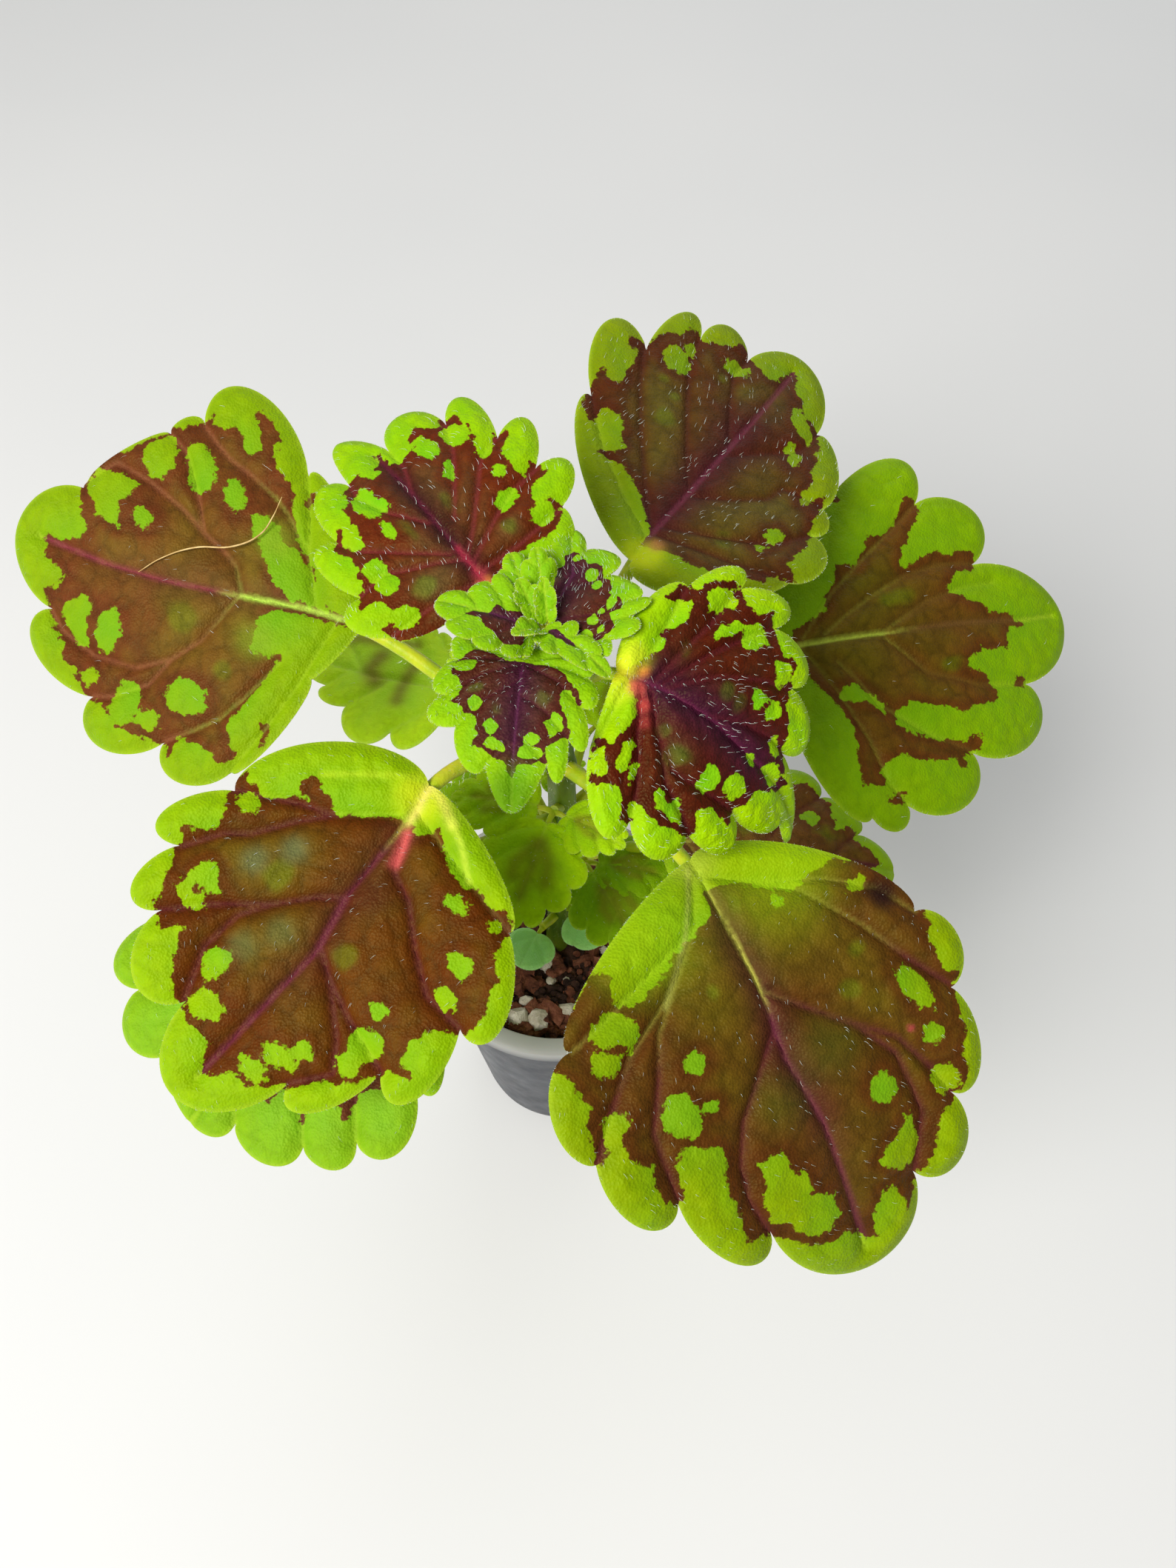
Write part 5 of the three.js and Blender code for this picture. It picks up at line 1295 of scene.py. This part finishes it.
stem = start_ring(4, 1, 0, "NGON", CORNER_TURN)
bpy.ops.mesh.bevel(offset=0.34 * MM, segments=3, affect="VERTICES", offset_type="OFFSET")
bpy.ops.mesh.select_all(action="SELECT")
centre, size = np.zeros(3), 1.0
for step in range(STEM_STEPS + 1):
    height = STEM_FOOT + (STEM_TOP - STEM_FOOT) * step / STEM_STEPS
    next_centre, next_size = stem_centre(height), stem_side(height) * 0.74
    if step:
        bpy.ops.mesh.extrude_region_move()
    k = next_size / size
    bpy.ops.transform.translate(value=(next_centre - centre) * MM)
    bpy.ops.transform.resize(value=(k, k, 1), center_override=next_centre * MM)
    centre, size = next_centre, next_size
bpy.ops.mesh.select_all(action="SELECT")
bpy.ops.mesh.normals_make_consistent(inside=False)
bpy.ops.object.mode_set(mode="OBJECT")
stem.data.materials.append(stem_skin)
bpy.ops.object.shade_smooth_by_angle(angle=math.radians(50))
print("the stem has", len(stem.data.polygons), "faces")

# %% Hairs on the stem
STEM_HAIRS = 700

rng = np.random.default_rng(77)
heights = rng.uniform(70, 170, STEM_HAIRS)
turns = rng.uniform(0, 2 * math.pi, STEM_HAIRS)
outward = np.stack([np.cos(turns), np.sin(turns), np.zeros(STEM_HAIRS)], 1)
radii = np.array([stem_side(h) * 0.56 for h in heights])
roots = (np.array([stem_centre(h) for h in heights]) + outward * radii[:, None]) * MM
leans = np.array([0, 0, -0.3]) + rng.normal(0, 0.3, (STEM_HAIRS, 3))
lengths = rng.uniform(0.5, 1.2, STEM_HAIRS) * MM
stem_hairs = grow_hairs("stem_hairs", roots, outward, leans, lengths, HAIR_WIDTH, 78)
finish_piece(join([stem, stem_hairs], "square_stem"), "main_stem")

# %% [markdown]
# ## Drain holes and pot finish
# Six more round holes, in a ring around the opening in the floor, drain the pot. Cylinders stand where
# the holes go, and a Boolean modifier takes them out. The plastic is dark grey, slightly cloudy and
# dusty. Its lip is painted pale grey, as painted light on the lit rim.

# %% Drain holes
DRAINS = 6
DRAIN_RADIUS = 2.2 * MM
DRAIN_CIRCLE = 13 * MM

cutters = []
for k in range(DRAINS):
    turn = math.radians(360 / DRAINS * k)
    place = (DRAIN_CIRCLE * math.cos(turn), DRAIN_CIRCLE * math.sin(turn), MM)
    bpy.ops.mesh.primitive_cylinder_add(vertices=32, radius=DRAIN_RADIUS, depth=6 * MM, location=place)
    cutters.append(bpy.context.object)
cutter = join(cutters, "drain_cutter")
apply_modifier(pot, "BOOLEAN", object=cutter, operation="DIFFERENCE", solver="EXACT")
bpy.data.objects.remove(cutter)
select_only(pot)
bpy.ops.object.shade_smooth_by_angle(angle=math.radians(32))
print("the pot has", DRAINS, "drain holes")

# %% Pot plastic
pot_plastic, tree, shader = start_material(
    "pot_plastic", Roughness=0.38, Specular_IOR_Level=0.12, Subsurface_Weight=0.1, Subsurface_Scale=0.002
)
body = ramp(tree, grain(tree, 55, 4), (0.3, "3A3C42"), (0.7, "484B51"))
height_here = add_node(tree, "SeparateXYZ", {0: object_place(tree)}).outputs[2]
# painted light: above 65.5 mm the plastic turns pale grey, for the lit top of the rim
painted_lip_light = span(tree, height_here, 65.5 * MM, 69 * MM, 0.0, 0.85)
dust = span(tree, grain(tree, 900, 4), 0.58, 0.75, 0.0, 0.08)
colour = blend_colours(tree, dust, blend_colours(tree, painted_lip_light, body, "B4B4B0"), "A89C8C")
tree.links.new(colour, shader.inputs["Base Color"])
tree.links.new(span(tree, grain(tree, 200, 4), 0.3, 0.7, 0.3, 0.46), shader.inputs["Roughness"])
relief(tree, shader, grain(tree, 3200, 2), 0.04 * MM, 0.4)
pot.data.materials.append(pot_plastic)
finish_piece(pot, "pot")

# %% [markdown]
# ## Potting mix
# The mix is a lumpy brown surface of peat with bark chips and white perlite grains. A filled circle
# grows upwards inside the pot, is then inset ring by ring, and the points of its top are raised and
# lowered.

# %% Surface of the mix
MIX_TOP = 64
MIX_EDGE = 63.2
MIX_LOW = 63.0
MIX_FOOT = 1.9
RINGS = 58
RING_WIDTH = 0.41


def mix_height(x, y):
    lumps = noise.fractal(Vector((x / 3.1, y / 3.1, 4.2)), 0.9, 2.1, 5)
    return MIX_TOP + 0.7 * (math.sin(0.9 * x + 1) * math.cos(0.8 * y) + math.sin(0.4 * x - 0.5 * y)) + lumps


def inner_radius(z):
    share = (z - FLOOR_TOP) / (POT_HEIGHT - FLOOR_TOP)
    return FLOOR_RADIUS + (MOUTH_RADIUS - FLOOR_RADIUS) * share - 0.25


ring = (inner_radius(2), MIX_FOOT)
soil = start_ring(ROUND, *ring, "NGON")
for z in (20, 40, 55, 60, MIX_EDGE):
    ring = next_ring(ring, inner_radius(z), z)
for _ in range(RINGS):
    ring = next_ring(ring, ring[0] - RING_WIDTH, MIX_EDGE)
bpy.ops.object.mode_set(mode="OBJECT")
for point in soil.data.vertices:
    x, y, z = point.co / MM
    if z > MIX_LOW:
        edge = min(1.0, (inner_radius(64) - math.hypot(x, y)) / 0.8)
        point.co.z = (MIX_LOW + (mix_height(x, y) - MIX_LOW) * edge) * MM
print("the mix has", len(soil.data.vertices), "points")

# %% [markdown]
# Crumbs and chips are strewn from five small rough forms. Each form is an icosphere or a cube that is
# knocked out of shape once; the copies are turned, stretched and scattered with a fixed seed. Five of
# the perlite grains have a place and a size of their own.

# %% Crumbs, bark chips and perlite
SHAKEN = {"chip": 0.252, "crumb": 0.35, "grain": 0.32}
STREWN_FROM = 3.2
STREWN_TO = 22.6
PERLITE_PLACES = "-7.7,-19.1,2.5 -3.4,-19.6,2.2 2.2,-17.5,2.4 -2.4,-6.6,2 6,-20,1.8"


def rough_form(kind, seed):
    if kind == "chip":
        bpy.ops.mesh.primitive_cube_add(size=2 * MM, location=(0, 0, 0))
        edit_all()
        bpy.ops.mesh.subdivide(number_cuts=2)
        bpy.ops.transform.resize(value=(1.0, 0.6, 0.35))
        bpy.ops.object.mode_set(mode="OBJECT")
    else:
        bpy.ops.mesh.primitive_ico_sphere_add(subdivisions=2, radius=MM, location=(0, 0, 0))
    form = bpy.context.object
    for point in form.data.vertices:
        shake = noise.noise_vector(point.co / MM * 1.7 + Vector((seed, 0, 0)))
        point.co += shake * SHAKEN[kind] * MM
    return form


def strew(kind, count, sizes, seed, material, sunk=0.35, places=()):
    rng = random.Random(seed)
    form = rough_form(kind, seed)
    base = np.array([tuple(v.co) for v in form.data.vertices])
    shape = np.array([tuple(p.vertices) for p in form.data.polygons])
    points, faces = [], []
    for k in range(count):
        reached = STREWN_FROM + (STREWN_TO - STREWN_FROM) * math.sqrt(rng.random())
        turn = rng.uniform(0, 2 * math.pi)
        x, y = reached * math.cos(turn), reached * math.sin(turn)
        size = rng.uniform(*sizes)
        if k < len(places):
            x, y, size = places[k]
        spin = Vector((0, 0, 1)).rotation_difference(Vector((rng.gauss(0, 0.35), rng.gauss(0, 0.35), 1)))
        matrix = spin.to_matrix() @ Matrix.Rotation(rng.uniform(0, 6.3), 3, "Z")
        grown = base @ np.array(matrix).T * size * [1, rng.uniform(0.7, 1.2), rng.uniform(0.7, 1.1)]
        z = mix_height(x, y) + size * (1 - 2 * sunk) * (0.3 if kind == "chip" else 0.6)
        points.append(grown + np.array([x, y, z]) * MM)
        faces += (shape + k * len(base)).tolist()
    bpy.data.objects.remove(form)
    return mesh_object(kind, np.concatenate(points), faces, material)


def crumb_material(name, scale, rough, *stops):
    material, tree, shader = start_material(name, Roughness=rough, Specular_IOR_Level=0.25)
    tree.links.new(ramp(tree, grain(tree, scale, 4), *stops), shader.inputs["Base Color"])
    relief(tree, shader, grain(tree, scale * 6, 4), 0.4 * MM, 0.8)
    return material


peat = crumb_material("peat", 420, 0.92, (0.32, "1E120D"), (0.55, "3A241B"), (0.75, "5C3A2A"))
bark = crumb_material("bark", 420, 0.85, (0.3, "3E2016"), (0.5, "6E3E2A"), (0.72, "96604A"))
perlite = crumb_material("perlite", 500, 0.85, (0.3, "A99C88"), (0.7, "DDD5C6"))
soil.data.materials.append(peat)
parts = [
    soil,
    strew("crumb", 900, (0.35, 0.95), 31, peat),
    strew("crumb", 420, (0.5, 1.7), 32, bark, sunk=0.25),
    strew("chip", 130, (1.3, 2.9), 33, bark, sunk=0.25),
    strew("chip", 60, (1.0, 2.4), 34, peat),
    strew("grain", 40, (0.7, 1.9), 35, perlite, places=numbers(PERLITE_PLACES)),
]
select_only(soil)
bpy.ops.object.shade_smooth()
finish_piece(join(parts, "crumbly_mix"), "potting_mix")
